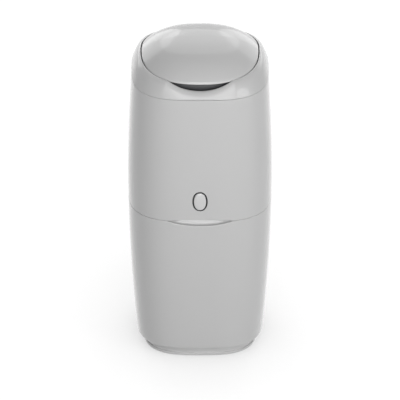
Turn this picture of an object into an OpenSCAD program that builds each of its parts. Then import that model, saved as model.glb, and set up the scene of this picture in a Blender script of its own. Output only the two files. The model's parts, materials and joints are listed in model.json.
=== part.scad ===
// Nappy bin: a rounded floor-standing bin in two shells, hinged at the back of the
// middle seam, with a flush domed lid, a film cassette under it and a sprung clamp
// that closes the throat. Millimetres, front towards -Y, standing on z = 0.

/* [Body] */
// Width of the body at its widest
body_w = 245; // [225:1:260]
// Depth of the body at its widest
body_d = 240; // [222:1:255]
// Height at which the body is widest
waist_z = 333; // [303:1:363]
// Width that the sides taper to at the floor
foot_w = 212; // [204:1:220]
// Width at the seam under the collar
shoulder_w = 232; // [224:1:236]
// How square the plan is: 2 is an ellipse, more is squarer
plan_power = 3.05; // [2.8:0.05:3.4]
// Wall of the shells
wall = 3; // [2.4:0.1:3.4]

/* [Base] */
// Height of the plinth under the lower container
plinth_h = 18; // [14:0.5:20]
// How far the plinth's wall stands in from the taper at the floor
plinth_inset = 10.5; // [8:0.5:11]
// How far the plinth's foot flange stands out of its wall
flange_out = 1.8; // [1:0.1:2.5]
// Height of the foot flange's top
flange_z = 6.5; // [5:0.1:7.5]
// Rounding of the container's bottom edge
bottom_r = 6; // [5:0.5:9]
// Diameter of a foot pad
pad_d = 22; // [16:0.5:26]
// How far the pads hold the plinth off the floor
pad_proud = 0.8; // [0.5:0.1:1.5]

/* [Middle seam] */
// Height of the seam between the two shells
seam_z = 278.5; // [268:0.5:288]
// Opening of the seam line
seam_gap = 0.5; // [0.3:0.1:0.8]
// Height of the container's lip inside the upper housing
lip_h = 8; // [6:0.5:10]
// Clearance between the lip and the upper housing
lip_gap = 1; // [0.9:0.1:1.4]
// Thickness of the lip
lip_t = 1.6; // [1.4:0.1:2]
// Half width of the finger recess at the front of the seam
scoop_half = 57; // [50:1:62]
// How far the upper housing's edge arches up over the recess
scoop_up = 5.2; // [4.6:0.2:6]
// How far the container's edge dips under the recess
scoop_down = 7.5; // [6.5:0.5:8.5]
// How far the recess goes in behind the wall
scoop_in = 9; // [8:0.5:10]

/* [Collar] */
// Height of the seam under the collar
collar_z = 511; // [506:1:515]
// Thickness of the collar's shoulder and well wall
collar_t = 2.6; // [2.2:0.1:2.8]
// How full the shoulder's curve is
shoulder_power = 1.8; // [1.6:0.1:2.2]
// Half width of the finger gap in front of the lid
finger_half = 54; // [48:1:60]
// How far the collar's edge dips under the lid's lip there
finger_drop = 11; // [9.5:0.5:11.5]

/* [Lid] */
// Width of the lid
lid_w = 198; // [192:1:200]
// Depth of the lid
lid_d = 198; // [192:1:200]
// How square the lid's plan is
lid_power = 2.45; // [2.3:0.05:2.6]
// Gap between the lid and the collar
lid_gap = 1.4; // [1:0.1:1.8]
// Height of the lid's rim at the middle of its sides
rim_z = 546; // [544:0.5:550]
// How far the rim falls from there to the front and back
rim_fall = 12; // [10:0.5:13]
// Height of the dome above the rim
dome_h = 27.5; // [22:0.5:30]
// How flat the dome is on top
dome_power = 3.4; // [2.6:0.1:4]
// Thickness of the lid's shell
lid_t = 2.6; // [2.2:0.1:3]

/* [Lid hinge] */
// Diameter of the lid's hinge pin
lid_pin_d = 4; // [3:0.5:4.5]
// Radius of the lid's hinge barrels
lid_barrel_r = 4.6; // [4.2:0.1:5]
// Length of the barrel on the lid
lid_barrel_l = 34; // [26:1:40]
// Length of each barrel on the collar
collar_barrel_l = 14; // [10:1:18]

/* [Rear hinge] */
// Diameter of the rear hinge pin
rear_pin_d = 4; // [3:0.5:4.5]
// Radius of the rear hinge knuckles
knuckle_r = 4.8; // [4.4:0.1:5.2]
// How far the rear hinge's axis stands behind the wall
knuckle_out = 3.2; // [2.8:0.1:3.4]
// Length of one rear hinge knuckle
knuckle_l = 22; // [16:1:26]
// Running clearance of the hinge pins in the turning barrels
pin_run = 0.06; // [0.03:0.01:0.09]
// Gap between parts that pass each other
pass_gap = 0.4; // [0.3:0.05:0.6]

/* [Latch] */
// Height of the button's centre
button_z = 319; // [315:1:323]
// Width of the button's hole
button_hole_w = 26; // [24:0.5:28]
// Height of the button's hole
button_hole_h = 37.5; // [35:0.5:40]
// Width of the dark bezel round the button
bezel_t = 2.2; // [1.8:0.1:2.6]
// Gap between the button and its bezel
button_gap = 0.4; // [0.3:0.1:0.6]
// How far the button stands proud of the body
button_proud = 1.6; // [1:0.1:2]
// Travel of the button
button_travel = 5; // [3:0.5:6]
// Width of the hook behind the button
hook_w = 20; // [14:1:24]
// Thickness of the hook's arm
hook_t = 4; // [3:0.5:5]
// How far the hook's nose stops short of the striker
nose_gap = 0.4; // [0.3:0.05:0.6]

/* [Cassette] */
// Outer diameter of the refill cassette
cassette_d = 174; // [166:1:176]
// Bore of the refill cassette
cassette_bore = 116; // [112:1:122]
// Height of the refill cassette
cassette_h = 50; // [44:1:52]
// Wall of the cassette
cassette_t = 1.8; // [1.5:0.1:2.2]
// Number of pleats of film that show in the model
film_pleats = 14; // [8:1:18]
// Clearance round the cassette in its tray
cassette_gap = 2; // [1.5:0.1:2.5]
// Thickness of the tray
tray_t = 2.6; // [2.2:0.1:3]
// Diameter of the throat
throat_d = 104; // [98:1:106]

/* [Clamp] */
// Length of the clamp's frame, left to right
clamp_l = 206; // [202:1:208]
// Width of the clamp's frame, front to back
clamp_w = 150; // [148:1:152]
// Height of the clamp's frame
clamp_h = 30; // [28:1:34]
// Wall of the clamp's frame
clamp_t = 3; // [2.6:0.1:3.2]
// Diameter of the guide rods
rod_d = 6; // [5:0.5:6.5]
// Distance of each guide rod from the middle
rod_y = 62; // [61:0.5:62.5]
// Travel of each jaw
jaw_travel = 44; // [36:1:45]
// Thickness of a jaw
jaw_t = 6; // [5:0.5:7]
// Outer diameter of a jaw spring
spring_d = 12; // [11:0.5:13]
// Wire of the jaw springs
spring_wire = 1.4; // [1:0.1:1.8]
// Turns of a jaw spring
spring_turns = 9; // [6:1:10]

/* [Screws] */
// Diameter of the screws
screw_d = 4; // [3:0.5:4]
// Diameter of the screw heads
head_d = 7.5; // [6.5:0.5:8]
// Height of the screw heads
head_h = 2.6; // [2:0.2:3]
// Wall of a screw boss round its screw
boss_wall = 2.6; // [2:0.1:3]

/* [Hidden] */
$fn = 64;
eps = 0.01;

// points round a lofted ring
steps = 56;
depth_ratio = body_d / body_w;
light_grey = [0.77, 0.77, 0.77];
charcoal = [0.2, 0.2, 0.21];
mid_grey = [0.45, 0.45, 0.46];
rubber_grey = [0.15, 0.15, 0.16];
steel = [0.75, 0.75, 0.78];
film_blue = [0.7, 0.8, 0.88];

// Half width of the body at height z: it tapers below the waist and above it
function body_half(z) =
    z < waist_z
    ? body_w / 2 - (body_w - foot_w) / 2 * pow((waist_z - z) / waist_z, 2)
    : body_w / 2 - (body_w - shoulder_w) / 2 * pow((z - waist_z) / (collar_z - waist_z), 1.5);
function body_deep(z) = depth_ratio * body_half(z);

// A point of a superellipse of the given half sizes
function signed_power(v, p) = sign(v) * pow(abs(v), p);
function round_point(hx, hy, power, i) =
    let (a = 360 * i / steps)
    [hx * signed_power(cos(a), 2 / power), hy * signed_power(sin(a), 2 / power)];
function outline(hx, hy, power) = [for (i = [0 : steps - 1]) round_point(hx, hy, power, i)];
function body_outline(z, inset) =
    outline(body_half(z) - inset, body_deep(z) - inset, plan_power);
// A ring at height z, moved by rise(x, y)
function level_ring(points, z, rise) = [for (p = points) [p[0], p[1], z + rise(p[0], p[1])]];
function body_ring(z, inset, rise) = level_ring(body_outline(z, inset), z, rise);
flat = function (x, y) 0;

// A bump of half width w at the front, 1 at the middle and 0 past its ends
function front_bump(x, y, w) = y < 0 && abs(x) < w ? 1 - pow(x / w, 2) : 0;

// A surface over a list of rings. A loop joins its last ring to its first.
module skin(rings, loop) {
    n = len(rings[0]);
    m = len(rings);
    bands = loop ? m : m - 1;
    sides = [
        for (k = [0 : bands - 1]) for (i = [0 : n - 1])
        let (
            j = (i + 1) % n,
            a = k * n,
            b = ((k + 1) % m) * n
        )
        each [[a + i, b + j, a + j], [a + i, b + i, b + j]]
    ];
    ends = loop ? [] : [[for (i = [0 : n - 1]) i], [for (i = [n - 1 : -1 : 0]) (m - 1) * n + i]];
    polyhedron([for (r = rings) each r], concat(sides, ends));
}

// Places a child at the four corners (x, y)
module at_corners(x, y) {
    for (sx = [-1, 1]) for (sy = [-1, 1]) translate([sx * x, sy * y, 0]) children();
}

// A cylinder along X from x0 to x1
module rod_x(r, x0, x1) {
    translate([x0, 0, 0]) rotate([0, 90, 0]) cylinder(r = r, h = x1 - x0);
}

// A cylinder along Y from y0 to y1
module rod_y(r, y0, y1) {
    translate([0, y1, 0]) rotate([90, 0, 0]) cylinder(r = r, h = y1 - y0);
}

// A screw whose head's underside is at z = 0 and whose shank goes up by len
module screw_up(len) {
    translate([0, 0, -head_h]) difference() {
        cylinder(d = head_d, h = head_h);
        translate([0, 0, -eps]) cylinder(d = screw_d * 0.6, h = head_h / 2, $fn = 6);
    }
    cylinder(d = screw_d, h = len);
}

screw_fit = 0.05;
// how far a cut runs past the face that it opens
cut_past = 1;
screw_hole_d = screw_d + 2 * screw_fit;

// ---------------------------------------------------------------- lower container
shell_bottom = plinth_h + pad_proud;
floor_t = wall;
plinth_half = foot_w / 2 - plinth_inset;
plinth_deep = depth_ratio * plinth_half;
function dip(x, y) = -scoop_down * front_bump(x, y, scoop_half);
function arch(x, y) = scoop_up * front_bump(x, y, scoop_half);
dip_rise = function (x, y) dip(x, y);
arch_rise = function (x, y) arch(x, y);

// The lip's outline, pushed in behind the finger recess
function lip_outline(inset) = [
    for (p = body_outline(seam_z, inset))
    [p[0], p[1] + scoop_in * front_bump(p[0], p[1], scoop_half)]
];
lip_outer = wall + lip_gap;
lip_inner = lip_outer + lip_t;
lip_root = 14;

// Rings round the bottom edge's rounding
function bottom_ring(a, r, inset) =
    body_ring(shell_bottom + inset + r * (1 - cos(a)), inset + r * (1 - sin(a)), flat);

container_levels = [for (part = [0.18, 0.33, 0.47, 0.62, 0.76, 0.89]) part * seam_z];
container_inner_levels = [for (part = [0.87, 0.62, 0.37, 0.18]) part * seam_z];
// how far the base's screws stand in from the plinth's wall
base_boss_in = 37;
base_boss_x = plinth_half - base_boss_in;
base_boss_y = plinth_deep - base_boss_in;
base_boss_h = 9;
base_screw_grip = 4;
// how far a screw's tip stops short of its boss's end
tip_gap = 1.5;

// The rear hinge
rear_y = body_deep(seam_z) + knuckle_out;
rear_z = seam_z;
knuckle_step = knuckle_l + pass_gap;
// Knuckle centres: the outer pair and the middle one belong to the container
container_knuckles = [-2, 0, 2];
housing_knuckles = [-1, 1];
knuckle_fit = pass_gap;
leaf_h = 20;
leaf_t = 2.4;

module at_rear() {
    translate([0, rear_y, rear_z]) children();
}

module knuckles(which, r, extra) {
    for (k = which)
        rod_x(r, k * knuckle_step - knuckle_l / 2 - extra, k * knuckle_step + knuckle_l / 2 + extra);
}

// The leaf that carries each knuckle on the wall, up or down from the seam
module leaves(which, up) {
    for (k = which)
        translate([k * knuckle_step - knuckle_l / 2, -knuckle_out - wall / 2, up ? pass_gap : -leaf_h])
            cube([knuckle_l, wall / 2 + leaf_t, leaf_h - pass_gap]);
}

// The striker stands on the inner face of the lip
lip_back = -body_deep(seam_z) + lip_inner + scoop_in;
striker_w = 28;
striker_reach = 13;
striker_over = 2;
striker_z0 = seam_z - striker_reach;
striker_top = seam_z + lip_h + striker_over;
striker_t = 3;
striker_tooth = 3.4;
striker_tooth_h = 3;
striker_hole_x = 9;
striker_screw_drop = 7;
striker_hole_z = seam_z - striker_screw_drop;
striker_screw_len = 4.6;

module lower_container() {
    rings = concat(
        [for (a = [0, 30, 60, 90]) bottom_ring(a, bottom_r, 0)],
        [for (z = container_levels) body_ring(z, 0, flat)],
        [body_ring(seam_z, 0, dip_rise)],
        [level_ring(lip_outline(lip_outer), seam_z, flat)],
        [level_ring(lip_outline(lip_outer), seam_z + lip_h, flat)],
        [level_ring(lip_outline(lip_inner), seam_z + lip_h, flat)],
        [level_ring(lip_outline(lip_inner), seam_z - lip_root, flat)],
        [for (z = container_inner_levels) body_ring(z, wall, flat)],
        [for (a = [90, 50, 0]) bottom_ring(a, bottom_r - wall, wall)]
    );
    color(light_grey) difference() {
        union() {
            skin(rings, false);
            at_rear() knuckles(container_knuckles, knuckle_r, 0);
            at_rear() leaves(container_knuckles, false);
            at_corners(base_boss_x, base_boss_y)
                translate([0, 0, shell_bottom + floor_t / 2])
                    cylinder(d = screw_d + 2 * boss_wall, h = base_boss_h);
        }
        // room for the housing's knuckles
        at_rear() knuckles(housing_knuckles, knuckle_r + knuckle_fit, pass_gap / 2);
        at_rear() rod_x(rear_pin_d / 2, -pin_half, pin_half);
        at_corners(base_boss_x, base_boss_y)
            translate([0, 0, shell_bottom - cut_past])
                cylinder(d = screw_hole_d, h = base_boss_h);
        for (sx = [-1, 1])
            translate([sx * striker_hole_x, 0, striker_hole_z])
                rod_y(screw_d / 2, lip_back - striker_screw_len + striker_t, lip_back + eps);
    }
}

// ---------------------------------------------------------------- base
plinth_web = 3;
// how far the web's middle laps its rim
web_lap = 1;
// how far the pads stand in from the plinth's wall
pad_in = 31;
pad_x = plinth_half - pad_in;
pad_y = plinth_deep - pad_in;
pad_h = 3;
// roundings of the flange's edges and of the plinth's foot
flange_round = 0.6;
foot_round = 1;
foot_rise = 2.4;
// how much wider than its head a screw's counterbore is
head_room = 1;

function plinth_ring(z, grow) =
    level_ring(outline(plinth_half + grow, plinth_deep + grow, plan_power), z, flat);

module base_plinth() {
    top = shell_bottom;
    rings = [
        plinth_ring(pad_proud + foot_round, flange_out - foot_round),
        plinth_ring(pad_proud, flange_out - foot_round - 2 * flange_round),
        plinth_ring(pad_proud, -wall),
        plinth_ring(top - plinth_web, -wall),
        plinth_ring(top - plinth_web, -plinth_half / 2),
        plinth_ring(top, -plinth_half / 2),
        plinth_ring(top, 0),
        plinth_ring(flange_z, 0),
        plinth_ring(flange_z - flange_round, flange_out - flange_round / 2),
        plinth_ring(pad_proud + foot_rise, flange_out)
    ];
    color(light_grey) difference() {
        union() {
            skin([for (i = [len(rings) - 1 : -1 : 0]) rings[i]], true);
            // the web's middle
            translate([0, 0, top - plinth_web])
                linear_extrude(plinth_web)
                    polygon(outline(plinth_half / 2 + web_lap, plinth_deep / 2 + web_lap, plan_power));
            at_corners(pad_x, pad_y)
                translate([0, 0, pad_h]) cylinder(d = pad_d, h = top - pad_h - plinth_web / 2);
            at_corners(base_boss_x, base_boss_y)
                translate([0, 0, top - plinth_web - base_screw_grip])
                    cylinder(d = screw_d + 2 * boss_wall, h = base_screw_grip + plinth_web / 2);
        }
        at_corners(base_boss_x, base_boss_y) {
            cylinder(d = screw_hole_d, h = top + cut_past);
            cylinder(d = head_d + head_room, h = top - plinth_web - base_screw_grip);
        }
    }
}

module foot_pads() {
    color(rubber_grey) at_corners(pad_x, pad_y) cylinder(d = pad_d, h = pad_h);
}

module base_screws() {
    color(steel) at_corners(base_boss_x, base_boss_y)
        translate([0, 0, shell_bottom - plinth_web - base_screw_grip])
            screw_up(plinth_web + base_screw_grip + base_boss_h - tip_gap);
}

pin_half = 2.5 * knuckle_step;
// how far a hinge pin's ends stand inside its barrels
pin_sunk = 1;
module rear_hinge_pin() {
    color(steel) at_rear() {
        rod_x(rear_pin_d / 2, -pin_half + pin_sunk, pin_half - pin_sunk);
    }
}

module latch_striker() {
    color(mid_grey) difference() {
        union() {
            translate([-striker_w / 2, lip_back, striker_z0])
                cube([striker_w, striker_t, striker_top - striker_z0]);
            translate([-striker_w / 2, lip_back + striker_t - eps, striker_top - striker_tooth_h])
                cube([striker_w, striker_tooth + eps, striker_tooth_h]);
        }
        for (sx = [-1, 1])
            translate([sx * striker_hole_x, 0, striker_hole_z])
                rod_y(screw_hole_d / 2, lip_back - cut_past, lip_back + striker_t + cut_past);
    }
}

module striker_screws() {
    color(steel) for (sx = [-1, 1])
        translate([sx * striker_hole_x, lip_back + striker_t, striker_hole_z])
            rotate([90, 0, 0]) screw_up(striker_screw_len);
}

// ---------------------------------------------------------------- upper housing
seam_top = collar_z - seam_gap / 2;
housing_levels = [for (part = [0.1, 0.23, 0.4, 0.58, 0.75, 0.9]) mix(seam_z, collar_z, part)];
housing_inner_levels = [for (part = [0.7, 0.36, 0.1]) mix(seam_z, collar_z, part)];

// The tray's flange carries the collar's well wall at this height
tray_step = 3;
tray_z = collar_z + tray_step;
lap_gap = 0.3;
lap_t = 1.6;
lap_h = 8;
lap_inner = wall + lap_gap + lap_t;

// Bosses in the corners, where a screw clamps collar, tray and housing together
top_boss_in = 34;
top_boss_x = body_half(collar_z) - top_boss_in;
top_boss_y = body_deep(collar_z) - top_boss_in;
top_boss_r = screw_d / 2 + boss_wall;
top_boss_drop = 24;
top_boss_z0 = collar_z - top_boss_drop;
top_web_z1 = collar_z - lap_h - 1;
// the web ends in the middle of the wall's corner
wall_corner = body_outline(top_web_z1, wall / 2)[steps / 8];
top_web_run = [wall_corner[0] - top_boss_x, wall_corner[1] - top_boss_y];
collar_boss_rise = 14;
collar_boss_z1 = collar_z + collar_boss_rise;
top_screw_len = collar_boss_z1 - 2 * tip_gap - top_boss_z0;

// The latch behind the button
front_y = -body_deep(button_z);
wall_in_y = front_y + wall;
guide_x = 24;
guide_boss_l = 8;
// how far off the wall's inner face a guide boss's drilling ends
guide_drill_in = 1;
guide_ear_t = 2.5;
guide_cheek_x = 14;
guide_cheek_t = 2.5;
guide_h = 22;

module oval_y(hw, hh, y0, y1) {
    translate([0, y1, button_z]) rotate([90, 0, 0])
        linear_extrude(y1 - y0) polygon(outline(hw, hh, 2.2));
}

module upper_housing() {
    rings = concat(
        [body_ring(seam_z + seam_gap, 0, arch_rise)],
        [for (z = housing_levels) body_ring(z, 0, flat)],
        [body_ring(seam_top, 0, flat)],
        [body_ring(seam_top, wall, flat)],
        [for (z = housing_inner_levels) body_ring(z, wall, flat)],
        [body_ring(seam_z + seam_gap, wall, arch_rise)]
    );
    color(light_grey) difference() {
        union() {
            skin(rings, true);
            at_corners(top_boss_x, top_boss_y)
                translate([0, 0, top_boss_z0])
                    cylinder(r = top_boss_r, h = tray_z - tray_t - top_boss_z0);
            for (sx = [-1, 1]) for (sy = [-1, 1])
                translate([sx * top_boss_x, sy * top_boss_y, top_boss_z0])
                    rotate([0, 0, atan2(sy * top_web_run[1], sx * top_web_run[0])])
                        translate([0, -boss_wall / 2, 0])
                            cube([norm(top_web_run), boss_wall, top_web_z1 - top_boss_z0]);
            at_rear() knuckles(housing_knuckles, knuckle_r, 0);
            at_rear() leaves(housing_knuckles, true);
            for (sx = [-1, 1])
                translate([sx * guide_x, 0, button_z])
                    rod_y(screw_d / 2 + boss_wall, wall_in_y - wall / 2, wall_in_y + guide_boss_l);
        }
        at_rear() knuckles(container_knuckles, knuckle_r + knuckle_fit, pass_gap / 2);
        at_rear() rod_x(rear_pin_d / 2 + pin_run, -pin_half, pin_half);
        at_corners(top_boss_x, top_boss_y)
            translate([0, 0, top_boss_z0 - cut_past])
                cylinder(d = screw_hole_d, h = top_boss_drop + tray_step + cut_past);
        oval_y(button_hole_w / 2, button_hole_h / 2, front_y - wall, wall_in_y + wall);
        for (sx = [-1, 1])
            translate([sx * guide_x, 0, button_z])
                rod_y(screw_hole_d / 2, wall_in_y + guide_drill_in, wall_in_y + guide_boss_l + cut_past);
    }
}

// ---------------------------------------------------------------- collar
open_x = lid_w / 2 + lid_gap;
open_y = lid_d / 2 + lid_gap;
fall_power = 1.3;

// Height of the rim over a point of its outline
function rim_at(y) = rim_z - rim_fall * pow(min(abs(y) / (lid_d / 2), 1), fall_power);
function edge_at(x, y) = rim_at(y) - finger_drop * front_bump(x, y, finger_half);
opening = outline(open_x, open_y, lid_power);
well_outer = outline(open_x + collar_t, open_y + collar_t, lid_power);
function mix(a, b, t) = a * (1 - t) + b * t;
function shoulder_rise(w) = 1 - pow(1 - w, shoulder_power);

// A ring of the shoulder, w of the way from one outline to another
function shoulder_ring(from, to, z0, below, w) = [
    for (i = [0 : steps - 1])
    let (e = opening[i], p = mix(from[i], to[i], w))
    [p[0], p[1], z0 + (edge_at(e[0], e[1]) - below - z0) * shoulder_rise(w)]
];

// A ring on a given outline that follows the opening's edge, lower by below
function edge_ring(points, below) = [
    for (i = [0 : steps - 1]) [points[i][0], points[i][1], edge_at(opening[i][0], opening[i][1]) - below]
];

collar_bottom = collar_z + seam_gap / 2;
// the collar's inner face clears the tray's flange by this
tray_top_gap = 0.5;
// how far the shoulder's inner face hangs under the opening's edge
edge_thick = 3.2;
lid_pivot_in = 0.5;
lid_pivot_drop = 1;
lid_pivot_y = lid_d / 2 - lid_pivot_in;
lid_pivot_z = rim_z - rim_fall - lid_pivot_drop;
lid_side_x = lid_barrel_l / 2 + pass_gap / 2;

module at_lid_hinge() {
    translate([0, lid_pivot_y, lid_pivot_z]) children();
}

module collar() {
    seam_line = body_outline(collar_z, 0);
    inner_line = body_outline(collar_z, lap_inner);
    rings = concat(
        [level_ring(seam_line, collar_bottom, flat)],
        [for (w = [0.15, 0.35, 0.55, 0.75, 0.9]) shoulder_ring(seam_line, opening, collar_bottom, 0, w)],
        [shoulder_ring(seam_line, opening, collar_bottom, 0.1, 0.97)],
        [edge_ring(opening, 0.6)],
        [level_ring(opening, tray_z, flat)],
        [level_ring(well_outer, tray_z, flat)],
        [edge_ring(well_outer, edge_thick)],
        [for (w = [0.55, 0.2]) shoulder_ring(inner_line, well_outer, tray_z + tray_top_gap, edge_thick, w)],
        [level_ring(inner_line, tray_z + tray_top_gap, flat)],
        [level_ring(inner_line, collar_z - lap_h, flat)],
        [level_ring(body_outline(collar_z, wall + lap_gap), collar_z - lap_h, flat)],
        [level_ring(body_outline(collar_z, wall + lap_gap), collar_bottom, flat)]
    );
    color(light_grey) difference() {
        union() {
            difference() {
                skin(rings, true);
                // room for the lid's barrel
                at_lid_hinge() rod_x(lid_barrel_r + pass_gap, -lid_side_x, lid_side_x);
            }
            for (sx = [-1, 1])
                at_lid_hinge() rod_x(lid_barrel_r, sx > 0 ? lid_side_x : -lid_side_x - collar_barrel_l,
                                     sx > 0 ? lid_side_x + collar_barrel_l : -lid_side_x);
            at_corners(top_boss_x, top_boss_y)
                translate([0, 0, tray_z]) cylinder(r = top_boss_r, h = collar_boss_z1 - tray_z);
        }
        at_lid_hinge() rod_x(lid_pin_d / 2, -lid_pin_half, lid_pin_half);
        at_corners(top_boss_x, top_boss_y)
            translate([0, 0, tray_z - cut_past])
                cylinder(d = screw_d, h = collar_boss_z1 - tray_z + cut_past - tip_gap);
    }
}

module top_screws() {
    color(steel) at_corners(top_boss_x, top_boss_y)
        translate([0, 0, top_boss_z0]) screw_up(top_screw_len);
}

// ---------------------------------------------------------------- tray and cassette
cassette_sink = 1;
tray_floor_z = tray_z - cassette_h - cassette_sink;
well_r = cassette_d / 2 + cassette_gap;
clamp_top = tray_floor_z - tray_t;
clamp_bottom = clamp_top - clamp_h;
clamp_boss_x = 38;
clamp_boss_out = 3.5;
clamp_boss_rise = 13;
clamp_boss_y = clamp_w / 2 + clamp_boss_out;
clamp_boss_z = clamp_bottom + clamp_boss_rise;
clamp_boss_r = screw_d / 2 + boss_wall;
tray_clear = 0.4;

module cassette_tray() {
    flange = body_outline(collar_z, lap_inner + tray_clear);
    color(charcoal) difference() {
        union() {
            translate([0, 0, tray_z - tray_t]) linear_extrude(tray_t) polygon(flange);
            translate([0, 0, clamp_top]) cylinder(r = well_r + tray_t, h = tray_z - tray_t / 2 - clamp_top);
            at_corners(clamp_boss_x, clamp_boss_y)
                translate([0, 0, clamp_boss_z])
                    cylinder(r = clamp_boss_r, h = tray_floor_z - tray_t / 2 - clamp_boss_z);
        }
        translate([0, 0, tray_floor_z]) cylinder(r = well_r, h = tray_z + cut_past - tray_floor_z);
        translate([0, 0, clamp_top - cut_past])
            cylinder(d = throat_d, h = tray_z + 2 * cut_past - clamp_top);
        at_corners(top_boss_x, top_boss_y) translate([0, 0, tray_z - tray_t - cut_past])
            cylinder(d = screw_hole_d, h = tray_t + 2 * cut_past);
        at_corners(clamp_boss_x, clamp_boss_y)
            translate([0, 0, clamp_boss_z - cut_past]) cylinder(d = screw_d, h = clamp_drill + cut_past);
    }
}

// How far the clamp's screws are drilled into the tray's bosses
clamp_drill = tray_floor_z - tray_t - clamp_boss_z;

// Everything of the cassette turns round the throat's axis
cassette_r = cassette_d / 2;
bore_r = cassette_bore / 2;
film_slot = 6;
cap_lip = 6;
cap_z = tray_floor_z + cassette_h - cassette_t;

module cassette_case() {
    color(mid_grey) translate([0, 0, tray_floor_z]) difference() {
        cylinder(r = cassette_r, h = cassette_h - cassette_t);
        translate([0, 0, cassette_t]) cylinder(r = cassette_r - cassette_t, h = cassette_h);
        translate([0, 0, -cut_past]) cylinder(r = bore_r, h = cassette_h);
    }
    color(mid_grey) translate([0, 0, tray_floor_z]) difference() {
        cylinder(r = bore_r + cassette_t, h = cassette_h - cassette_t - cap_lip - film_slot);
        translate([0, 0, -cut_past]) cylinder(r = bore_r, h = cassette_h);
    }
}

module cassette_cap() {
    color(mid_grey) difference() {
        union() {
            translate([0, 0, cap_z]) cylinder(r = cassette_r, h = cassette_t);
            translate([0, 0, cap_z - cap_lip]) cylinder(r = bore_r + cassette_t, h = cap_lip + eps);
        }
        translate([0, 0, cap_z - cap_lip - cut_past])
            cylinder(r = bore_r, h = cap_lip + cassette_t + 2 * cut_past);
    }
}

// The folded film, a stack of pleats between the walls of the case
film_gap = 1.2;
film_room = 2;
film_h = cassette_h - 2 * cassette_t - cap_lip - film_room;
pleat_in = 3;

module film_pack() {
    r0 = bore_r + cassette_t + film_gap;
    r1 = cassette_r - cassette_t - film_gap;
    step = film_h / film_pleats;
    outer = [for (k = [0 : film_pleats - 1]) each [[r1 - pleat_in, k * step], [r1, (k + 0.5) * step]]];
    inner = [for (k = [film_pleats : -1 : 1]) each [[r0 + pleat_in, k * step], [r0, (k - 0.5) * step]]];
    color(film_blue) translate([0, 0, tray_floor_z + cassette_t])
        rotate_extrude() polygon(concat(outer, [[r1 - pleat_in, film_h]], inner, [[r0 + pleat_in, 0]]));
}

// ---------------------------------------------------------------- clamp
clamp_corner = 20;
frame_inner_x = clamp_l / 2 - clamp_t;
frame_inner_y = clamp_w / 2 - clamp_t;
post_t = 5;
post_in = 15;
post_drop = 8;
// how far the posts run into the frame's long walls
post_sunk = 1;
// clearance of the frame's top round the tray's bosses
boss_room = 0.1;
post_x = frame_inner_x - post_in;
cover_t = 2.6;
cover_z = clamp_bottom - cover_t;
rod_rise = 17;
rod_z = clamp_bottom + rod_rise;
jaw_clear = 0.5;
jaw_z = clamp_bottom + jaw_clear;
jaw_lap = 4;
jaw_lip_over = 2;
lip_w = 4;
lip_half_gap = 0.2;
// gap left between an open jaw and the frame's end
stop_gap = 2;
jaw_l = frame_inner_x - jaw_travel - stop_gap;
jaw_half_y = 54;
lug_x0 = 6;
lug_x1 = 18;
lug_half_y = 6.5;
lug_h = 6.5;
lug_gap = 0.3;
spring_slack = 0.1;

module rounded_box(l, w, h, r) {
    translate([-l / 2 + r, -w / 2, 0]) cube([l - 2 * r, w, h]);
    translate([-l / 2, -w / 2 + r, 0]) cube([l, w - 2 * r, h]);
    at_corners(l / 2 - r, w / 2 - r) cylinder(r = r, h = h);
}

module clamp_frame() {
    post_y0 = rod_y - lug_half_y - lug_gap;
    color(charcoal) difference() {
        union() {
            difference() {
                union() {
                    translate([0, 0, clamp_bottom])
                        rounded_box(clamp_l, clamp_w, clamp_h, clamp_corner);
                    at_corners(clamp_boss_x, clamp_boss_y) translate([0, 0, clamp_bottom])
                        cylinder(r = clamp_boss_r, h = clamp_boss_z - clamp_bottom);
                }
                translate([0, 0, clamp_bottom - cut_past])
                    rounded_box(2 * frame_inner_x, 2 * frame_inner_y,
                                clamp_h + cut_past - clamp_t, clamp_corner - clamp_t);
                at_corners(clamp_boss_x, clamp_boss_y)
                    translate([0, 0, clamp_boss_z]) cylinder(r = clamp_boss_r + boss_room, h = clamp_h);
            }
            // posts that hold the ends of the rods
            for (sx = [-1, 1]) for (sy = [-1, 1])
                translate([sx > 0 ? post_x : -post_x - post_t,
                           sy > 0 ? post_y0 : -frame_inner_y - post_sunk, rod_z - post_drop])
                    cube([post_t, frame_inner_y + post_sunk - post_y0,
                          clamp_top - clamp_t / 2 - rod_z + post_drop]);
        }
        translate([0, 0, clamp_bottom - cut_past]) cylinder(d = throat_d, h = clamp_h + 2 * cut_past);
        for (sy = [-1, 1])
            translate([0, sy * rod_y, rod_z])
                rod_x(rod_d / 2, -post_x - post_t - cut_past, post_x + post_t + cut_past);
        at_corners(clamp_boss_x, clamp_boss_y) translate([0, 0, clamp_bottom - cut_past])
            cylinder(d = screw_hole_d, h = clamp_boss_rise + 2 * cut_past);
    }
}

module clamp_cover() {
    color(charcoal) translate([0, 0, cover_z]) difference() {
        union() {
            rounded_box(clamp_l, clamp_w, cover_t, clamp_corner);
            at_corners(clamp_boss_x, clamp_boss_y) cylinder(r = clamp_boss_r, h = cover_t);
        }
        translate([0, 0, -cut_past]) cylinder(d = throat_d, h = cover_t + 2 * cut_past);
        at_corners(clamp_boss_x, clamp_boss_y)
            translate([0, 0, -cut_past]) cylinder(d = screw_hole_d, h = cover_t + 2 * cut_past);
    }
}

module clamp_screws() {
    color(steel) at_corners(clamp_boss_x, clamp_boss_y)
        translate([0, 0, cover_z]) screw_up(clamp_boss_z + clamp_drill - tip_gap - cover_z);
}

module guide_rods() {
    color(steel) for (sy = [-1, 1])
        translate([0, sy * rod_y, rod_z]) rod_x(rod_d / 2, -post_x - post_t, post_x + post_t);
}

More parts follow.
